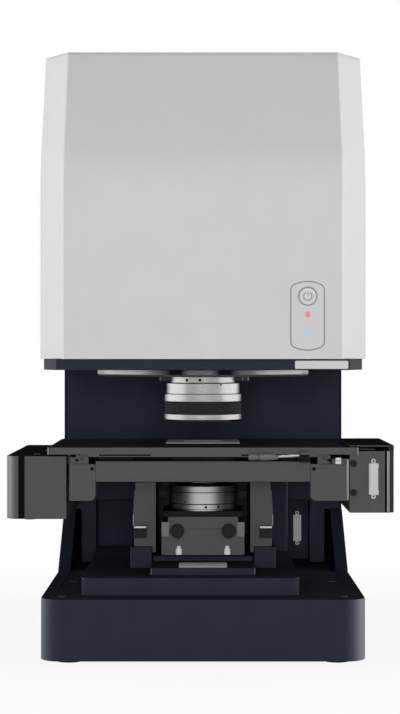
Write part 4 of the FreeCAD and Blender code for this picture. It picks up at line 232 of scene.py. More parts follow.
objectiveAxis = (0, 120)
turretAxis = (0, 192)
finish = {
    # blue-black powder coat; for tops a duller copy without reflection, painted to stay as dark as if no
    # light reached them; a darker copy as painted shade in the recess under the stage; a copy with a painted
    # highlight on the rounded corners where they turn away; and a lighter navy for painted edge highlights
    "navyCoat": powderCoat("navyPowderCoat", "262934", 0.5, specular=0.12),
    "navyTop": powderCoat("navyPowderCoatTop", "292D36", 0.7, specular=0.0),
    "navyShade": powderCoat("navyPowderCoatRecess", "151922", 0.6, specular=0.05),
    "navyLight": powderCoat("rubbedNavyEdge", "4C505C", 0.45),
    # on the rounded front corners the colour grows lighter towards the side: a painted highlight
    "navyCorner": powderCoat("navyPowderCoatCorner", "22252F", 0.42, across=(
        (141, "1E212B"), (146, "272A35"), (151, "3C3F4B"), (155, "5C5F6A"), (160, "7C7F88"))),
    "motorBlack": powderCoat("blackMotorCasing", "1B1C1F", 0.5),
    # pale mouldings of the head, one plastic in two copies: a brighter shell, painted light where the side
    # lamps fall on it, round a slightly greyer front, painted shade
    "whiteShell": mouldedPlastic("whiteMouldedShell", "E1E1E1", 0.5, specular=0.3),
    "greyShell": mouldedPlastic("greyMouldedPanel", "C7C7C7", 0.5, specular=0.3),
    "panelFilm": mouldedPlastic("printedPanelFilm", "C6C6C7", 0.42, specular=0.3, grain=0.0006),
    "buttonGrey": mouldedPlastic("satinButtonPlastic", "CACACC", 0.38, grain=0.0006),
    "stripPlastic": mouldedPlastic("pearlGreyStripPlastic", "C6C7C6", 0.4),
    "inkGrey": mouldedPlastic("greyPrintedInk", "85858F", 0.6, specular=0.15),
    # white plug, studs and index dot; also pale lines painted as edge highlights on the stop blocks
    "whitePlastic": mouldedPlastic("whitePlugPlastic", "D2D2D0", 0.45),
    "blackPlastic": mouldedPlastic("blackMouldedPlastic", "17171A", 0.5, specular=0.25),
    "knobPlastic": mouldedPlastic("charcoalKnobPlastic", "1E1E1E", 0.55, specular=0.2),
    # near black for screw sockets, and as painted shade in grooves, slots and gaps
    "holeBlack": mouldedPlastic("blackScrewSocket", "060606", 0.7, specular=0.1),
    "boardGreen": mouldedPlastic("greenCircuitBoard", "2F5D43", 0.4, specular=0.5, grain=0.002),
    # anodised stage parts: dull grey faces; black for the black runners and guides, and on tops as painted
    # shade where no light falls from above; corners painted lighter as highlight or darker as shade; pale
    # grey lines painted as edge highlights
    "stageGrey": anodised("greyAnodisedAluminium", "3E3E3E", 0.4, metallic=0.1, specular=0.6),
    "stageBlack": anodised("blackAnodisedAluminium", "202023", 0.7, metallic=0.0, specular=0.0, tone=0.1),
    "stageTop": anodised("blackAnodisedTop", "2E2E33", 0.7, metallic=0.0, specular=0.0, tone=0.08),
    "cornerSheen": anodised("rubbedAnodisedCorner", "666666", 0.3, metallic=0.2, specular=0.5, across=(
        (184, "4C4C4C"), (187, "686868"), (190, "8A8A8A"), (194, "5E5E5E"))),
    "cornerDark": anodised("shadedAnodisedCorner", "242628", 0.5, metallic=0.0, specular=0.1),
    "cornerGrey": anodised("darkAnodisedCorner", "3C3E40", 0.5, metallic=0.1, specular=0.2),
    "tabGrey": anodised("lightAnodisedTab", "707070", 0.45, metallic=0.2),
    "edgeGrey": anodised("rubbedAnodisedEdge", "8A8A8A", 0.4, specular=0.4),
    "gripGrey": anodised("greyLeverGrip", "646464", 0.45, metallic=0.2),
    # the disc's lower bevel in a flat grey painted in place of its metal reflection
    "discEdge": anodised("greyDiscBevel", "505252", 0.6, metallic=0.0, specular=0.2),
    # bright metals: silver barrel, steel disc with painted reflection bands, and a darker barrel below with a
    # painted reflection
    "satinSilver": turnedMetal("satinTurnedAluminium", "B8B8B8", 0.27, objectiveAxis),
    # dark bands 20 to 31 mm either side of the middle and light further out: painted reflections
    "discMetal": turnedMetal("turnedSteelDisc", "8A8C8B", 0.22, turretAxis, rings=True, across=(
        (11, "D2D2D2"), (20, "303030"), (31, "303030"), (45, "D8D8D8"), (70, "FFFFFF"))),
    # the lower barrel's light band where it faces the eye and its dark sides: a painted reflection
    "darkChrome": facingPaintedChrome("blackenedBarrelChrome", "DADADA", "848484", "5C5C5C", 0.42, objectiveAxis),
    "mirrorCoat": turnedMetal("silveredMirrorCoat", "E6E6E8", 0.08, objectiveAxis, depth=0.000001),
    "groundSteel": groundMetal("groundSteel", "A2A2A2"),
    "innerMetal": groundMetal("machinedAluminium", "A8A8A8", 0.4),
    "shankSteel": groundMetal("polishedShankSteel", "C6C6C6", 0.25, stretch=(1.0, 12.0, 12.0)),
    "slidePlate": groundMetal("paleGroundAluminium", "F0F0F2", 0.45, stretch=(1.0, 14.0, 14.0), metallic=0.1),
    "specimenPlate": groundMetal("greyGroundAluminium", "8E8E90", 0.45, stretch=(1.0, 14.0, 14.0),
                                 metallic=0.2),
    "connectorMetal": groundMetal("tinnedSteelShell", "C8C8C6", 0.45, stretch=(3.0, 3.0, 3.0), metallic=0.1),
    # rubber and lamps
    "footRubber": ribbedRubber("footRubber", "1A1A1A"),
    "gripBlack": ribbedRubber("ribbedGripRubber", "242424", 0.6),
    "redLens": lampLens("redLampLens", "E0707E", glow=0.34),
    "cyanLens": lampLens("cyanLampLens", "78CCD4", glow=0.36),
}
print("finishes made:", len(finish))


def camelName(node):
    # stage_plate becomes stagePlate
    first, *others = node.split("_")
    return first + "".join(word.capitalize() for word in others)


def showPiece(name, bm, body, materials, replaces=(), smoothAngle=35):
    # a finished shape, smooth over curves and sharp at edges, put into the scene: it rides with its body
    # and stands for the nodes it replaces
    mesh = bpy.data.meshes.new(name)
    bm.to_mesh(mesh)
    bm.free()
    mesh.shade_smooth()
    mesh.set_sharp_from_angle(angle=math.radians(smoothAngle))
    for material in materials:
        mesh.materials.append(finish[material])
    piece = bpy.data.objects.new(name, mesh)
    bpy.context.scene.collection.objects.link(piece)
    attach(piece, body)
    if replaces:
        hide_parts(*replaces)
    return piece


def addShape(bm, part, place, direction=(0, 0, 1), material=0):
    # sets a finished shape into the piece, its own z turned to the direction
    for face in part.faces:
        face.material_index = material
    turn = Vector((0, 0, 1)).rotation_difference(Vector(direction)).to_matrix().to_4x4()
    part.transform(Matrix.Translation(place) @ turn)
    holder = bpy.data.meshes.new("holder")
    part.to_mesh(holder)
    part.free()
    bm.from_mesh(holder)
    bpy.data.meshes.remove(holder)


def turnedShape(profile, steps=96):
    # a profile of (radius, height) in millimetres turned all the way round, solid or a ring
    part = bmesh.new()
    points = [part.verts.new((radius / 1000, 0, height / 1000)) for radius, height in profile]
    pairs = list(zip(points, points[1:]))
    if profile[0][0] > 0:
        pairs.append((points[-1], points[0]))
    edges = [part.edges.new(pair) for pair in pairs]
    bmesh.ops.spin(part, geom=points + edges, axis=(0, 0, 1), cent=(0, 0, 0), angle=math.tau, steps=steps,
                   use_merge=True)
    bmesh.ops.remove_doubles(part, verts=part.verts, dist=0.000002)
    bmesh.ops.recalc_face_normals(part, faces=part.faces)
    return part


def roundEdges(part, edges, radius, segments):
    # rounds the given edges by a radius in millimetres
    bmesh.ops.bevel(part, geom=edges, offset=radius / 1000, offset_type="OFFSET", affect="EDGES",
                    segments=segments, profile=0.5, material=-1)


def plateShape(width, depth, height, edge, corner=0.0):
    # a plate of the given millimetres; its edges are broken, and its corners seen from the front rounded
    part = bmesh.new()
    bmesh.ops.create_cube(part, size=0.001)
    bmesh.ops.scale(part, vec=(width, depth, height), verts=part.verts)
    if corner:
        runs = [(e, e.verts[0].co - e.verts[1].co) for e in part.edges]
        roundEdges(part, [e for e, run in runs if abs(run.x) < 0.000001 and abs(run.z) < 0.000001], corner, 5)
    sharp = [e for e in part.edges if len(e.link_faces) == 2 and e.calc_face_angle() > math.radians(40)]
    roundEdges(part, sharp, edge, 2)
    return part


def sinkEveryOther(part, radius, smallest, depth):
    # every second facet of a turned wall pressed in, which leaves ribs between
    wall = [f for f in part.faces
            if f.calc_area() > smallest and Vector(f.calc_center_median()).xy.length > radius / 1000]
    wall.sort(key=lambda f: math.atan2(f.calc_center_median().y, f.calc_center_median().x))
    bmesh.ops.inset_individual(part, faces=wall[::2], thickness=0.0001, depth=-depth / 1000,
                               use_even_offset=True)


def raisePrint(part):
    # a flat drawing made into a film of ink 0.1 mm thick
    raised = bmesh.ops.extrude_face_region(part, geom=part.faces[:])
    bmesh.ops.translate(part, vec=(0, 0, 0.0001),
                        verts=[v for v in raised["geom"] if isinstance(v, bmesh.types.BMVert)])


def screwShape(radius, proud, socket, steps=24):
    # a cap head with a round socket in it, its foot 0.3 mm inside the wall
    return turnedShape([
        (0, -0.3), (radius, -0.3), (radius, proud * 0.7), (radius * 0.88, proud), (radius * socket, proud),
        (radius * socket * 0.9, proud * 0.35), (0, proud * 0.25)], steps)


slotOf = {part["node"]: part["material_slot"] for part in frame["record"]["subparts"]}
bodyOf = {node: body for body, nodes in frame["record"]["behaviour"]["bodies"].items() for node in nodes}
slotFinish = {
    "navy_paint": "navyCoat", "white_cover": "whiteShell", "grey_cover": "greyShell",
    "stage_grey": "stageGrey", "stage_black": "stageBlack", "satin_silver": "satinSilver",
    "ground_steel": "groundSteel", "disc_metal": "discMetal", "connector_metal": "connectorMetal",
    "foot_rubber": "footRubber", "grip_black": "gripBlack", "black_plastic": "blackPlastic",
    "panel_film": "panelFilm", "button_grey": "buttonGrey", "lamp_glass": "whitePlastic",
    "mirror_coat": "mirrorCoat", "board_green": "boardGreen", "inner_metal": "innerMetal",
    "motor_black": "motorBlack",
}
for node, part in frame["nodes"].items():
    part.data.materials.clear()
    part.data.materials.append(finish[slotFinish[slotOf[node]]])


def mergedCopy(node):
    # the part's triangles joined up again, with flat faces made whole
    bm = bmesh.new()
    bm.from_mesh(frame["nodes"][node].data)
    bmesh.ops.remove_doubles(bm, verts=bm.verts, dist=0.00001)
    bmesh.ops.dissolve_limit(bm, angle_limit=math.radians(0.4), verts=bm.verts, edges=bm.edges)
    return bm


def inRegion(face, region):
    # whether a face's middle lies in the millimetre ranges given for x, y and z
    middle = face.calc_center_median() * 1000 - frameShift
    return all(low <= value <= high for value, (low, high) in zip(middle, region))


def roundedCopy(node, width, segments=2, main=None, regions=(), tops=None, frontAt=None):
    # the same part with its edges rounded, which then stands for it; frontAt trims what stands before it
    bm = mergedCopy(node)
    if frontAt:
        nearest = spot(0, frontAt, 0).y
        for vert in bm.verts:
            vert.co.y = max(vert.co.y, nearest)
    materials = [main or slotFinish[slotOf[node]]]
    # regions take other finishes by where the faces lie; most paint highlights on rounded corners or shade in
    # grooves, slots and recesses
    for name, region in regions:
        materials.append(name)
        for face in bm.faces:
            if inRegion(face, region):
                face.material_index = len(materials) - 1
    # tops take another finish above the height: the slide plate's pale top, and elsewhere a dark copy
    # painting the shade of tops that no light reaches from above
    if tops:
        name, limit = tops
        materials.append(name)
        for face in bm.faces:
            if face.normal.z > 0.7 and face.calc_center_median().z > limit / 1000:
                face.material_index = len(materials) - 1
    piece = showPiece(camelName(node), bm, bodyOf[node], materials, (node,))
    attribute = piece.data.attributes.get("custom_normal")
    if attribute:
        piece.data.attributes.remove(attribute)
    if width:
        bevel = piece.modifiers.new("roundedEdges", "BEVEL")
        bevel.width = width / 1000
        bevel.segments = segments
        bevel.limit_method = "ANGLE"
        bevel.angle_limit = math.radians(32)
        bevel.use_clamp_overlap = False
        bevel.harden_normals = True


wide = (-400, 400)
roundedParts = {
    # edge radius in mm, and which faces by their middle's x, y and z, or their height, have another finish:
    # mostly painted shade on tops, grooves, slots and recesses, and painted highlights on rounded corners
    # base: tops painted with the shade of unlit tops, rounded front corners with a painted highlight
    "base_housing": {"width": 0.9, "tops": ("navyTop", 60.0),
                     "regions": [("navyCorner", ((-162, -141), (-1, 20), wide)),
                                 ("navyCorner", ((141, 162), (-1, 20), wide))]},
    # these tops too painted with the shade of unlit tops
    "base_cover": {"width": 0.9, "tops": ("navyTop", 60.0)},
    "pedestal": {"width": 0.9, "tops": ("navyTop", 70.0)},
    "pedestal_blocks": {"width": 0.6, "tops": ("navyTop", 90.0)},
    "slide_plate": {"width": 0.3, "main": "specimenPlate", "tops": ("slidePlate", 90.0)},
    "lift_tower": {"width": 0.5},
    # column wings below the stage painted darker: the shade the stage casts
    "column_shell": {"width": 0.6, "regions": [("navyShade", ((-170, -100), (200, 330), (60, 200))),
                                               ("navyShade", ((100, 170), (200, 330), (60, 200)))]},
    "head_plate": {"width": 0.5},
    "main_cover": {"width": 0.7},
    "front_cover": {"width": 0.5},
    # the disc's lower bevel painted flat grey for its reflection
    "turret_disc": {"width": 0.3, "regions": [("discEdge", (wide, wide, (286.6, 288.6)))]},
    "objective_holder": {"width": 0.25, "main": "cornerGrey", "frontAt": 124.0},
    "uprights": {"width": 0.35, "regions": [("knobPlastic", (wide, (101, 103), (118, 131)))]},
    "crosshead": {"width": 0.4},
    "stage_floor": {"width": 0.3},
    # left drive cover: top painted dark as unlit, its rounded front corner with a painted highlight, and the
    # groove beside it painted black as shade
    "left_drive_cover": {"width": 0.6, "tops": ("stageBlack", 205.0),
                         "regions": [("cornerSheen", ((-197, -184.2), (23, 38.5), wide)),
                                     ("holeBlack", ((-184.2, -177.5), (23, 26.2), wide))]},
    # right drive cover: top painted dark as unlit, its rounded front corner painted darker as shade
    "right_drive_cover": {"width": 0.4, "tops": ("stageBlack", 212.0),
                          "regions": [("cornerDark", ((186.2, 192), (25, 31.5), wide))]},
    # frame top painted dark as unlit
    "stage_frame": {"width": 0.6, "segments": 3, "tops": ("stageBlack", 160.0)},
    "frame_runners": {"width": 0.25, "main": "stageBlack",
                      "regions": [("stageGrey", ((-129, -112), (24, 29), wide)),
                                  ("stageGrey", ((112, 129), (24, 29), wide))]},
    # stage plate: top painted dark as unlit, and the slot in its apron painted black as shade
    "stage_plate": {"width": 0.3, "main": "stageGrey", "tops": ("stageTop", 213.0),
                    "regions": [("holeBlack", (wide, (16.2, 19), (208.8, 210.4)))]},
    # the insert in the same painted top shade
    "stage_insert": {"width": 0.2, "main": "stageTop"},
    "specimen_holder": {"width": 0.2, "main": "specimenPlate"},
    "lift_guides": {"width": 0.2, "main": "stageBlack"},
    "condenser_block": {"width": 0.0},
    "condenser_plate": {"width": 0.3},
    "condenser_fittings": {"width": 0.2, "main": "tabGrey",
                           "regions": [("whitePlastic", (wide, wide, (100, 114)))]},
    "rear_panel": {"width": 0.4},
    "mains_inlet": {"width": 0.3},
    "mains_rocker": {"width": 0.3},
    "power_button": {"width": 0.3},
    # faces round the middle, behind the front, painted black as the shade under the stage
    "plate_runners": {"width": 0.2, "regions": [("stageBlack", (wide, wide, (180, 206.0))),
                                                ("holeBlack", ((-80, 80), (30, 200), wide))]},
    "base_screws": {"width": 0.0, "main": "blackPlastic"},
}
for node, sizes in roundedParts.items():
    roundedCopy(node, **sizes)
print("rounded parts:", len(roundedParts))


objective = {
    "neck": 33.6, "barrel": 38.1, "flange": 40.2, "bore": 30.5, "seat": 36.5, "lip": 31.5, "seam": 0.5,
    "neckTop": 286.3, "neckFoot": 280.0, "barrelFoot": 269.0, "seatTop": 260.55, "seatFoot": 247.65,
    "noseTop": 242.1, "noseFoot": 239.4, "neckScrews": (-119.8, -95.4), "neckScrewHeight": 283.0,
    "neckScrewRadius": 1.5, "markAngle": -60.8, "markHeight": 278.2, "markRadius": 0.9, "dotHeight": 265.0,
    "dotRadii": (1.0, 1.7),
}


def around(radius, degrees, z):
    # a point on a wall round the optical axis, and the way out from it
    out = Vector((math.cos(math.radians(degrees)), math.sin(math.radians(degrees)), 0))
    return spot(*objectiveAxis, z) + out * radius / 1000, out


def buildObjective():
    # neck with two screws, barrel, flange, the seat of the grip ring and the slanted nose
    o = objective
    neck, barrel, flange, seam = o["neck"], o["barrel"], o["flange"], o["seam"]
    bm = bmesh.new()
    addShape(bm, turnedShape([
        (o["bore"], o["neckTop"]), (neck - 0.4, o["neckTop"]), (neck, o["neckTop"] - 0.4),
        (neck, o["neckFoot"] + 0.4), (neck - 0.4, o["neckFoot"]),
        (barrel - seam, o["neckFoot"] - 0.2), (barrel, o["neckFoot"] - 0.7), (barrel, o["barrelFoot"] + 0.3),
        (barrel - seam, o["barrelFoot"]), (barrel - seam, o["barrelFoot"] - 0.5),
        (flange - seam, o["barrelFoot"] - 0.5), (flange, o["barrelFoot"] - 1.0),
        (flange, o["seatTop"] + 0.45), (flange - seam, o["seatTop"]), (o["seat"], o["seatTop"]),
        (o["seat"], o["seatFoot"]), (flange - 0.4, o["seatFoot"]), (flange, o["seatFoot"] - 0.45),
        (flange, o["noseTop"]), (flange - 0.6, o["noseTop"] - 0.8), (flange - 2.8, o["noseFoot"] + 0.3),
        (flange - 3.8, o["noseFoot"]), (o["lip"], o["noseFoot"]), (o["bore"], o["noseFoot"] + 0.8)]),
        spot(*objectiveAxis, 0))
    for degrees in o["neckScrews"]:
        place, out = around(neck, degrees, o["neckScrewHeight"])
        addShape(bm, screwShape(o["neckScrewRadius"], 0.25, 0.75), place, out, 1)
    place, out = around(barrel, o["markAngle"], o["markHeight"])
    addShape(bm, screwShape(o["markRadius"], 0.3, 0.7, 12), place, out, 1)
    place, out = around(flange - 0.1, o["markAngle"], o["dotHeight"])
    inner, outer = o["dotRadii"]
    addShape(bm, turnedShape([(inner, 0), (outer, 0), (outer, 0.22), (inner, 0.22)], 32), place, out, 2)
    showPiece("objectiveBody", bm, "turret", ["satinSilver", "holeBlack", "whitePlastic"],
              ("objective_barrel",))


buildObjective()

gripRing = {"inner": 36.7, "outer": 40.0, "low": 247.7, "high": 260.45, "ribs": 120, "ribDepth": 0.35}


def buildGripRing():
    # the ribbed adjusting ring
    g = gripRing
    part = turnedShape([
        (g["inner"], g["low"]), (g["outer"] - 0.4, g["low"]), (g["outer"], g["low"] + 0.5),
        (g["outer"], g["high"] - 0.5), (g["outer"] - 0.4, g["high"]), (g["inner"], g["high"])], g["ribs"] * 2)
    sinkEveryOther(part, g["outer"] - 0.5, 0.000010, g["ribDepth"])
    bm = bmesh.new()
    addShape(bm, part, spot(*objectiveAxis, 0))
    showPiece("ribbedGripRing", bm, "collar", ["gripBlack"], ("grip_ring",))


buildGripRing()

condenserBarrel = {
    "radius": 36.0, "foot": 34.0, "bore": 31.0, "low": 148.0, "top": 173.7, "seams": (154.6, 167.0),
    "footScrews": (-85.2, -63.5), "footScrewHeight": 152.0, "footScrewRadius": 1.3, "sideMark": -121.3,
    "sideMarkHeight": 157.1, "sideMarkRadius": 0.9,
}


def buildCondenserBarrel():
    # a barrel of three steps with two seams between
    c = condenserBarrel
    radius, foot, bore, bottom, top = c["radius"], c["foot"], c["bore"], c["low"], c["top"]
    low, high = c["seams"]
    bm = bmesh.new()
    addShape(bm, turnedShape([
        (bore, bottom), (foot, bottom), (foot, bottom + 1.2), (radius - 0.9, bottom + 1.4),
        (radius - 0.5, bottom + 1.8), (radius - 0.5, low - 0.3), (radius - 1.1, low),
        (radius - 0.4, low + 0.3), (radius, low + 0.8), (radius, high - 0.4), (radius - 0.6, high),
        (radius, high + 0.4), (radius, top - 0.6), (radius - 0.6, top), (bore + 0.4, top),
        (bore, top - 0.5)]), spot(*objectiveAxis, 0))
    for degrees in c["footScrews"]:
        place, out = around(radius - 0.5, degrees, c["footScrewHeight"])
        addShape(bm, screwShape(c["footScrewRadius"], 0.25, 0.75), place, out, 1)
    place, out = around(radius, c["sideMark"], c["sideMarkHeight"])
    addShape(bm, screwShape(c["sideMarkRadius"], 0.25, 0.7, 12), place, out, 1)
    showPiece("condenserBarrel", bm, "condenser", ["darkChrome", "holeBlack"],
              ("condenser_ring",))


buildCondenserBarrel()

centringKnob = {"radius": 7.2, "stem": 3.0, "front": 78.0, "rear": 97.0, "headLength": 7.0, "offset": 26.5,
                "height": 127.9, "flutes": 18, "fluteDepth": 0.4}


def buildKnob(name, side, body, node):
    # a fluted knob with a shallow dished face
    k = centringKnob
    radius, length = k["radius"], k["rear"] - k["front"]
    shoulder = length - k["headLength"]
    part = turnedShape([
        (0, 0), (k["stem"], 0), (k["stem"], shoulder), (radius - 0.5, shoulder), (radius, shoulder + 0.6),
        (radius, length - 0.7), (radius - 0.7, length), (radius - 1.6, length), (radius - 2.2, length - 0.5),
        (0, length - 0.5)], k["flutes"] * 2)
    sinkEveryOther(part, radius - 0.2, 0.000005, k["fluteDepth"])
    bm = bmesh.new()
    addShape(bm, part, spot(side * k["offset"], k["rear"], k["height"]), (0, -1, 0))
    showPiece(name, bm, body, ["knobPlastic"], (node,))


buildKnob("rightCentringKnob", 1, "knob_right", "right_knob")
buildKnob("leftCentringKnob", -1, "knob_left", "left_knob")
print("objective and condenser done")


controls = {
    "left": 86.6, "right": 121.1, "bottom": 313.2, "top": 382.6, "front": 17.6, "arch": 4.98, "corner": 3.6,
    "line": 1.2, "button": (104.0, 367.3), "buttonFace": 16.4, "buttonRing": (8.6, 0.7),
    "symbolArc": (4.1, 1.0, 300), "symbolBar": (1.0, 3.4, 2.7), "lamps": (349.3, 331.2), "lampBack": 25.5,
    "lampRadius": 2.6, "lampLength": 8.42,
}


def panelOutline():
    # the printed line round the panel: straight sides, arched ends, rounded corners
    c = controls
    width, height = c["right"] - c["left"], c["top"] - c["bottom"] - 2 * c["arch"]
    part = bmesh.new()
    bmesh.ops.create_grid(part, x_segments=1, y_segments=1, size=0.5)
    bmesh.ops.scale(part, vec=(width / 1000, height / 1000, 1), verts=part.verts)
    bmesh.ops.bevel(part, geom=part.verts[:], offset=c["corner"] / 1000, offset_type="OFFSET",
                    affect="VERTICES", segments=6, profile=0.5, material=-1)
    ends = [e for e in part.edges
            if e.calc_length() > 0.01 and abs(e.verts[0].co.y - e.verts[1].co.y) < 0.0001]
    bmesh.ops.subdivide_edges(part, edges=ends, cuts=15)
    bmesh.ops.dissolve_faces(part, faces=part.faces[:])
    for vert in part.verts:
        if abs(vert.co.y) > height / 2000 - 0.0045:
            share = 1 - (vert.co.x / (width / 2000)) ** 2
            vert.co.y += math.copysign(c["arch"] / 1000 * share, vert.co.y)
    bmesh.ops.inset_region(part, faces=part.faces[:], thickness=c["line"] / 1000, use_even_offset=True,
                           use_boundary=True)
    middle = max(part.faces, key=lambda f: f.calc_area())
    bmesh.ops.delete(part, geom=[middle], context="FACES_ONLY")
    raisePrint(part)
    bmesh.ops.recalc_face_normals(part, faces=part.faces)
    return part


def lineArc(radius, width, degrees, steps):
    # a flat printed arc of the given width, open at the top
    part = bmesh.new()
    start = Matrix.Rotation(math.radians(90 + (360 - degrees) / 2), 3, "Z")
    rims = (radius - width / 2, radius + width / 2)
    ends = [part.verts.new(start @ Vector((rim / 1000, 0, 0))) for rim in rims]
    edge = part.edges.new(ends)
    bmesh.ops.spin(part, geom=[*ends, edge], axis=(0, 0, 1), cent=(0, 0, 0), angle=math.radians(degrees),
                   steps=steps, use_merge=degrees == 360)
    raisePrint(part)
    bmesh.ops.remove_doubles(part, verts=part.verts, dist=0.000002)
    bmesh.ops.recalc_face_normals(part, faces=part.faces)
    return part


def setUpright(part):
    # drawn flat, then stood up to face the front
    part.transform(Matrix.Rotation(math.radians(90), 4, "X"))
    return part


def buildControls():
    # the panel's printed line, the power symbol on the button and the two lamps
    c = controls
    bm = bmesh.new()
    addShape(bm, setUpright(panelOutline()),
             spot((c["left"] + c["right"]) / 2, c["front"], (c["top"] + c["bottom"]) / 2))
    showPiece("panelOutline", bm, "stand", ["inkGrey"])
    x, z = c["button"]
    barWidth, barHeight, barRise = c["symbolBar"]
    bm = bmesh.new()
    addShape(bm, setUpright(lineArc(*c["buttonRing"], 360, 64)), spot(x, c["buttonFace"], z))
    addShape(bm, setUpright(lineArc(*c["symbolArc"], 48)), spot(x, c["buttonFace"], z))
    addShape(bm, plateShape(barWidth, 0.1, barHeight, 0.02), spot(x, c["buttonFace"] - 0.05, z + barRise))
    showPiece("buttonPrint", bm, "button", ["inkGrey"])
    radius, tip = c["lampRadius"], c["lampLength"]
    bm = bmesh.new()
    for index, height in enumerate(c["lamps"]):
        addShape(bm, turnedShape([
            (0, 0), (radius, 0), (radius, tip - 0.72), (radius - 0.3, tip - 0.37), (radius - 1.0, tip - 0.17),
            (radius - 1.8, tip - 0.04), (0, tip)], 32), spot(x, c["lampBack"], height), (0, -1, 0), index)
    showPiece("lampLenses", bm, "stand", ["redLens", "cyanLens"], ("indicator_lamps",),
              smoothAngle=50)


buildControls()

nameStrip = {"left": 91.5, "right": 144.4, "bottom": 295.2, "top": 303.3, "face": 19.4}


def buildNameStrip():
    # a blank raised strip on the head plate's front
    n = nameStrip
    bm = bmesh.new()
    addShape(bm, plateShape(n["right"] - n["left"], 1.0, n["top"] - n["bottom"], 0.2, 1.2),
             spot((n["left"] + n["right"]) / 2, n["face"] + 0.5, (n["top"] + n["bottom"]) / 2))
    showPiece("blankNameStrip", bm, "stand", ["stripPlastic"])


buildNameStrip()
print("control panel done")


lever = {
    "axis": (9.0, 207.2), "gripHeight": 208.2, "gripStart": 45.0, "gripEnd": 74.8, "gripRadius": 3.2,
    "grooveRadius": 2.6, "waistRadius": 3.5, "shankStart": (73.0, 1.3), "shankEnd": (97.8, 2.5),
    "eye": (100.0, 9.0), "eyeLow": 205.6, "eyeHigh": 210.5, "eyeBore": 2.1, "eyeRadius": 5.0,
    "screw": (4.1, 208.9), "screwRadius": 1.5,
}


def buildLever():
    # a grey grip with two grooves and a long taper, a bright shank, and the eye on its pin
    v = lever
    y, z = v["axis"]
    start, grip, groove, waist = v["gripStart"], v["gripRadius"], v["grooveRadius"], v["waistRadius"]
    bm = bmesh.new()
    addShape(bm, turnedShape([
        (0, start), (grip - 0.4, start), (grip, start + 0.5), (grip, start + 7.6), (groove, start + 7.8),
        (groove, start + 8.5), (grip - 0.1, start + 8.7), (grip - 0.1, start + 9.6), (groove, start + 9.8),
        (groove, start + 10.6), (waist, start + 11.2), (waist, start + 17.0), (waist - 0.4, start + 23.0),
        (waist - 1.2, start + 28.2), (0.9, v["gripEnd"]), (0, v["gripEnd"])], 40),
        spot(0, y, v["gripHeight"]), (1, 0, 0))
    near, far = [spot(x, y, z + rise) for x, rise in (v["shankStart"], v["shankEnd"])]
    length = (far - near).length * 1000
    addShape(bm, turnedShape([(0, 0), (0.9, 0), (1.6, 4.0), (1.7, 16.0), (1.3, 22.0), (1.2, length),
                              (0, length)], 24), near, far - near, 1)
    bore, radius, low, high = v["eyeBore"], v["eyeRadius"], v["eyeLow"], v["eyeHigh"]
    addShape(bm, turnedShape([(bore, low), (radius - 0.6, low), (radius, low + 0.6), (radius, high - 0.6),
                              (radius - 0.6, high), (bore, high)], 48), spot(*v["eye"], 0), (0, 0, 1), 2)
    front, height = v["screw"]
    addShape(bm, screwShape(v["screwRadius"], 0.3, 0.8), spot(v["eye"][0], front, height), (0, -1, 0), 3)
    showPiece("sampleLever", bm, "lever", ["gripGrey", "shankSteel", "stageBlack", "holeBlack"],
              ("sample_lever",))


buildLever()

connector = {
    "width": 9.5, "length": 31.0, "flange": 1.6, "shellFoot": 1.4, "shellWidth": 8.2, "shellLength": 25.4,
    "proud": 5.0, "earPitch": 35.4, "earRadius": 2.3, "earHole": 1.1, "capShift": 13.4, "capBack": 3.2,
    "capSize": (3.4, 4.6), "rows": 13, "pitch": 1.6, "columnShift": 1.3, "contactRadius": 0.42,
    "contactDepth": 0.85, "stagePlace": (170.0, 26.0, 185.5), "columnPlace": (111.0, 350.0, 105.0),
    "rearPlaces": ((20.0, 534.0, 110.0), (80.0, 534.0, 110.0)),
}
plug = {"x": 134.65, "body": 22.9, "face": 21.25, "height": 203.75, "size": (5.5, 3.2, 6.2),
        "contactSize": (1.3, 0.3, 1.6), "contactShift": 1.2}


def addConnector(bm, x, y, z, facing, contacts=True):
    # a tinned shell on a flange, with an eye at each end; its sunk face has two rows of contacts,
    # or else the shell has a cap over each end
    c = connector
    addShape(bm, plateShape(c["width"], c["flange"], c["length"], 0.25, 1.2),
             spot(x, y + facing * c["flange"] / 2, z))
    hole, radius = c["earHole"], c["earRadius"]
    for side in (-1, 1):
        addShape(bm, turnedShape([(hole, 0), (radius, 0), (radius, 1.2), (hole, 1.2)], 28),
                 spot(x, y, z + side * c["earPitch"] / 2), (0, facing, 0))
    depth = c["proud"] - c["shellFoot"]
    shell = plateShape(c["shellWidth"], depth, c["shellLength"], 0.3, 2.2)
    front = [f for f in shell.faces if f.normal.y < -0.99 and f.calc_area() > 0.0001]
    bmesh.ops.inset_region(shell, faces=front, thickness=0.0006, depth=0)
    bmesh.ops.inset_region(shell, faces=front, thickness=0.0002, depth=-0.0008)
    if facing > 0:
        shell.transform(Matrix.Rotation(math.pi, 4, "Z"))
    addShape(bm, shell, spot(x, y + facing * (c["shellFoot"] + depth / 2), z))
    if not contacts:
        capDepth, capHeight = c["capSize"]
        for side in (-1, 1):
            addShape(bm, plateShape(c["width"] + 0.2, capDepth, capHeight, 0.3, 0.8),
                     spot(x, y - c["capBack"], z + side * c["capShift"]))
        return
    radius, foot = c["contactRadius"], y + facing * (c["proud"] - c["contactDepth"])
    for row in range(c["rows"]):
        for column in (-1, 1):
            rise = (row - (c["rows"] - 1) / 2) * c["pitch"] + column * c["pitch"] / 4
            addShape(bm, turnedShape([(0, 0), (radius, 0), (radius, 0.25), (0, 0.3)], 8),
                     spot(x + column * c["columnShift"], foot, z + rise), (0, facing, 0), 1)


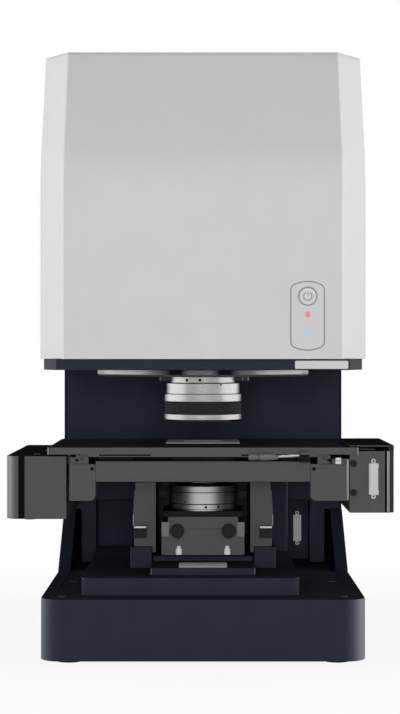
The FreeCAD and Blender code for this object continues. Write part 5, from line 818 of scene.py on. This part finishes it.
def buildConnectors():
    # one on the stage with a white plug beside it; one in the column's front and two at the back
    p = plug
    bm = bmesh.new()
    addConnector(bm, *connector["stagePlace"], -1, contacts=False)
    addShape(bm, plateShape(*p["size"], 0.3, 0.6), spot(p["x"], p["body"], p["height"]), (0, 0, 1), 2)
    for side in (-1, 1):
        addShape(bm, plateShape(*p["contactSize"], 0.1),
                 spot(p["x"] + side * p["contactShift"], p["face"], p["height"]), (0, 0, 1), 3)
    showPiece("stageConnector", bm, "y_stage", ["connectorMetal", "tabGrey", "whitePlastic", "edgeGrey"],
              ("stage_connectors",))
    bm = bmesh.new()
    addConnector(bm, *connector["columnPlace"], -1)
    for place in connector["rearPlaces"]:
        addConnector(bm, *place, 1)
    showPiece("standConnectors", bm, "stand", ["connectorMetal", "tabGrey"],
              ("stand_connectors",))


buildConnectors()

trim = {
    # strips as (left, right, low, high, front, thickness, finish), screws as (x, z, radius, finish)
    # right drive box: a pale strip painted as its front corner's highlight, a black line beside it painted as
    # shadow, a dark strip above painted as the corner's shade; right end plate: a pale strip painted as its
    # edge highlight
    "frameStrips": [(183.5, 186.1, 152.2, 213.0, 25.3, 0.8, "edgeGrey"),
                    (181.4, 183.4, 152.2, 213.0, 25.85, 0.2, "holeBlack"),
                    (184.9, 190.4, 213.2, 217.3, 25.9, 0.6, "cornerDark"),
                    (143.2, 145.4, 164.4, 205.4, 24.0, 0.6, "edgeGrey"),
                    (-133.2, -126.6, 200.3, 207.2, 24.3, 3.0, "stageGrey"),
                    (128.4, 143.2, 200.3, 205.6, 24.3, 3.0, "stageGrey")],
    "frameScrews": [(-110.4, 195.6, 1.5, "holeBlack"), (110.3, 195.6, 1.5, "holeBlack")],
    "coverButtons": [(150.0, 171.8, 3.5, "knobPlastic"), (150.0, 200.8, 3.5, "knobPlastic")],
    # pale strips painted as the highlights of the apron's rounded ends, with a black line beside the left one
    "apronStrips": [(-154.2, -153.1, 210.0, 217.1, 15.8, 1.0, "edgeGrey"),
                    (-152.6, -152.1, 210.2, 217.0, 15.9, 0.2, "holeBlack"),
                    (153.0, 154.2, 209.4, 217.1, 15.8, 1.0, "edgeGrey")],
    "apronScrews": [(-125.0, 204.7, 1.5, "holeBlack"), (124.8, 204.6, 1.5, "holeBlack")],
    # pale lines painted as highlights along the stop blocks' top edges and down the uprights' outer edges
    "liftStrips": [(-71.6, -59.1, 128.9, 130.8, 101.6, 0.6, "whitePlastic"),
                   (59.1, 71.6, 128.9, 130.8, 101.6, 0.6, "whitePlastic"),
                   (-73.3, -72.3, 130.4, 142.0, 111.8, 0.4, "edgeGrey"),
                   (72.3, 73.3, 130.4, 142.0, 111.8, 0.4, "edgeGrey")],
    # pale lines painted as edge highlights on the objective holder's tabs
    "holderStrips": [(-45.4, -44.2, 282.0, 286.2, 118.4, 0.9, "edgeGrey"),
                     (41.1, 42.3, 282.0, 286.2, 118.4, 0.9, "edgeGrey"),
                     (46.6, 48.2, 282.0, 286.2, 118.4, 0.9, "edgeGrey")],
    # lighter navy lines painted as highlights on the step's rounded ends
    "stepStrips": [(-53.0, -51.6, 86.8, 93.2, 49.8, 0.5, "navyLight"),
                   (51.6, 53.0, 86.8, 93.2, 49.8, 0.5, "navyLight")],
    "coverTopScrews": [(-169.0, 60.0), (-163.0, 128.0)], "coverTop": 208.2, "topScrewRadius": 3.4,
    "frameFront": 24.3, "buttonFront": 26.0, "apronFront": 16.0,
}


def addStrips(bm, strips, materials):
    # thin plates that face the front
    for left, right, low, high, front, thickness, name in strips:
        addShape(bm, plateShape(right - left, thickness, high - low, min(0.25, thickness * 0.3)),
                 spot((left + right) / 2, front + thickness / 2, (low + high) / 2), (0, 0, 1),
                 materials.index(name))


def addScrews(bm, screws, front, materials, proud=0.3, socket=0.8):
    # low heads that face the front
    for x, z, radius, name in screws:
        addShape(bm, screwShape(radius, proud, socket), spot(x, front, z), (0, -1, 0), materials.index(name))


def buildTrim():
    # small heads, end caps and strips, each riding with the part that carries it; most strips are painted
    # highlights on edges and corners, or painted shade in grooves and corners
    t = trim
    bm, materials = bmesh.new(), ["edgeGrey", "holeBlack", "knobPlastic", "cornerDark", "stageGrey"]
    addStrips(bm, t["frameStrips"], materials)
    addScrews(bm, t["frameScrews"], t["frameFront"], materials)
    addScrews(bm, t["coverButtons"], t["buttonFront"], materials, 1.6, 0.45)
    showPiece("frameTrim", bm, "y_stage", materials)
    bm, materials = bmesh.new(), ["edgeGrey", "holeBlack"]
    addStrips(bm, t["apronStrips"], materials)
    addScrews(bm, t["apronScrews"], t["apronFront"], materials)
    showPiece("apronTrim", bm, "x_stage", materials)
    bm, materials = bmesh.new(), ["cornerGrey", "whitePlastic", "edgeGrey"]
    for x, y in t["coverTopScrews"]:
        addShape(bm, screwShape(t["topScrewRadius"], 0.3, 0.6), spot(x, y, t["coverTop"]))
    addStrips(bm, t["liftStrips"], materials)
    showPiece("liftTrim", bm, "lift", materials)
    for name, body, strips, material in (("holderTrim", "turret", t["holderStrips"], "edgeGrey"),
                                         ("stepTrim", "stand", t["stepStrips"], "navyLight")):
        bm = bmesh.new()
        addStrips(bm, strips, [material])
        showPiece(name, bm, body, [material])


buildTrim()
print("stage details done")


def areaLight(name, place, aim, width, height, power):
    # a rectangular softbox in metres, turned towards its aim
    data = bpy.data.lights.new(name, "AREA")
    data.shape = "RECTANGLE"
    data.size, data.size_y, data.energy = width, height, power
    light = bpy.data.objects.new(name, data)
    light.location = place
    light.rotation_euler = (Vector(aim) - Vector(place)).to_track_quat("-Z", "Y").to_euler()
    bpy.context.scene.collection.objects.link(light)
    return light


studio = {
    "worldLight": 0.14, "sideSpot": (2.8, 0.3, 0.9), "sideAim": (0, 0.2, 0.35), "sideSize": (4.6, 4.2),
    "sidePower": 70.0, "frontSpot": (0, -3.4, 0.42), "frontAim": (0, 0, 0.32), "frontSize": (1.2, 0.8),
    "frontPower": 62.0, "floorSize": 24.0, "floorGrey": 0.9, "floorFade": (0.25, 0.7),
    "floorGlow": (0.9, 1.0), "cardAngles": (-34.0, 34.0), "cardDistance": 2.4, "cardHeight": 0.4,
    "cardSize": (1.1, 2.4), "cardGlow": 0.8,
}
sideX, sideY, sideZ = studio["sideSpot"]
for lightName, side in (("leftSoftbox", -1), ("rightSoftbox", 1)):
    areaLight(lightName, (side * sideX, sideY, sideZ), studio["sideAim"], *studio["sideSize"],
              studio["sidePower"])
frontSoftbox = areaLight("frontSoftbox", studio["frontSpot"], studio["frontAim"], *studio["frontSize"],
                         studio["frontPower"])
frontSoftbox.visible_glossy = False


def stageSheet(name, materialName, width, height, place):
    # a flat sheet of the studio in metres, set by the given matrix, its material still without a shader
    bm = bmesh.new()
    bmesh.ops.create_grid(bm, x_segments=1, y_segments=1, size=0.5)
    bmesh.ops.scale(bm, vec=(width, height, 1), verts=bm.verts)
    bm.transform(place)
    mesh = bpy.data.meshes.new(name)
    bm.to_mesh(mesh)
    bm.free()
    sheet = bpy.data.objects.new(name, mesh)
    bpy.context.scene.collection.objects.link(sheet)
    material = bpy.data.materials.new(materialName)
    material.use_nodes = True
    material.node_tree.nodes.clear()
    mesh.materials.append(material)
    return sheet, material.node_tree


def shadeCard(name, degrees):
    # a grey card that only polished metal mirrors, so that round barrels get their darker bands
    out = Matrix.Rotation(math.radians(degrees), 3, "Z") @ Vector((0, -1, 0))
    place = (Matrix.Translation(out * studio["cardDistance"] + Vector((0, 0, studio["cardHeight"])))
             @ Matrix.Rotation(math.radians(degrees), 4, "Z") @ Matrix.Rotation(math.radians(90), 4, "X"))
    card, tree = stageSheet(name, "greyStudioCard", *studio["cardSize"], place)
    glow = addNode(tree, "ShaderNodeEmission", {"Color": (1, 1, 1, 1), "Strength": studio["cardGlow"]})
    addNode(tree, "ShaderNodeOutputMaterial", links={"Surface": glow.outputs[0]})
    card.visible_camera = card.visible_diffuse = card.visible_shadow = card.visible_transmission = False


for index, degrees in enumerate(studio["cardAngles"]):
    shadeCard("shadeCard" + str(index + 1), degrees)


def studioWorld():
    # a soft even light that the camera, metal and glass see as plain white
    world = bpy.data.worlds.new("studio")
    bpy.context.scene.world = world
    world.use_nodes = True
    tree = world.node_tree
    tree.nodes.clear()
    path = addNode(tree, "ShaderNodeLightPath")
    seen = addNode(tree, "ShaderNodeMath", links={
        0: path.outputs["Is Camera Ray"], 1: path.outputs["Is Glossy Ray"]}, operation="MAXIMUM")
    seenOrThrough = addNode(tree, "ShaderNodeMath", links={
        0: seen.outputs[0], 1: path.outputs["Is Transmission Ray"]}, operation="MAXIMUM")
    light = addNode(tree, "ShaderNodeBackground", {"Color": (1, 1, 1, 1), "Strength": studio["worldLight"]})
    shown = addNode(tree, "ShaderNodeBackground", {"Color": (1, 1, 1, 1), "Strength": 1.0})
    mixed = addNode(tree, "ShaderNodeMixShader", links={
        0: seenOrThrough.outputs[0], 1: light.outputs[0], 2: shown.outputs[0]})
    addNode(tree, "ShaderNodeOutputWorld", links={"Surface": mixed.outputs[0]})


studioWorld()


def studioFloor():
    # a pale floor that keeps the shadow near the feet and, for the camera, turns white further out
    size, grey = studio["floorSize"], studio["floorGrey"]
    (near, far), (dim, full) = studio["floorFade"], studio["floorGlow"]
    tree = stageSheet("floor", "paleStudioFloor", size, size, Matrix())[1]
    matt = addNode(tree, "ShaderNodeBsdfDiffuse", {"Color": (grey, grey, grey, 1)})
    glow = addNode(tree, "ShaderNodeEmission", {"Color": (1, 1, 1, 1), "Strength": 1.0})
    where = addNode(tree, "ShaderNodeTexCoord").outputs["Object"]
    away = addNode(tree, "ShaderNodeVectorMath", links={0: where}, operation="LENGTH")
    fade = addNode(tree, "ShaderNodeMapRange", {
        "From Min": near, "From Max": far, "To Min": dim, "To Max": full}, {"Value": away.outputs["Value"]})
    path = addNode(tree, "ShaderNodeLightPath")
    share = addNode(tree, "ShaderNodeMath", links={
        0: fade.outputs["Result"], 1: path.outputs["Is Camera Ray"]}, operation="MULTIPLY")
    mixed = addNode(tree, "ShaderNodeMixShader", links={
        0: share.outputs[0], 1: matt.outputs[0], 2: glow.outputs[0]})
    addNode(tree, "ShaderNodeOutputMaterial", links={"Surface": mixed.outputs[0]})


studioFloor()

# straight from the front, with the photo's middle 3 of its 714 pixels off each way
view = {"lens": 89.78, "sensorWidth": 36.0, "shift": -3 / 714, "place": (0, -1750, 310)}
cameraData = bpy.data.cameras.new("camera")
cameraData.lens = view["lens"]
cameraData.sensor_width = view["sensorWidth"]
cameraData.shift_x = cameraData.shift_y = view["shift"]
camera = bpy.data.objects.new("camera", cameraData)
camera.location = spot(*view["place"])
camera.rotation_euler = (math.radians(90), 0, 0)
bpy.context.scene.collection.objects.link(camera)
bpy.context.scene.camera = camera
bpy.context.scene.view_settings.view_transform = "Standard"
print("studio and camera set")
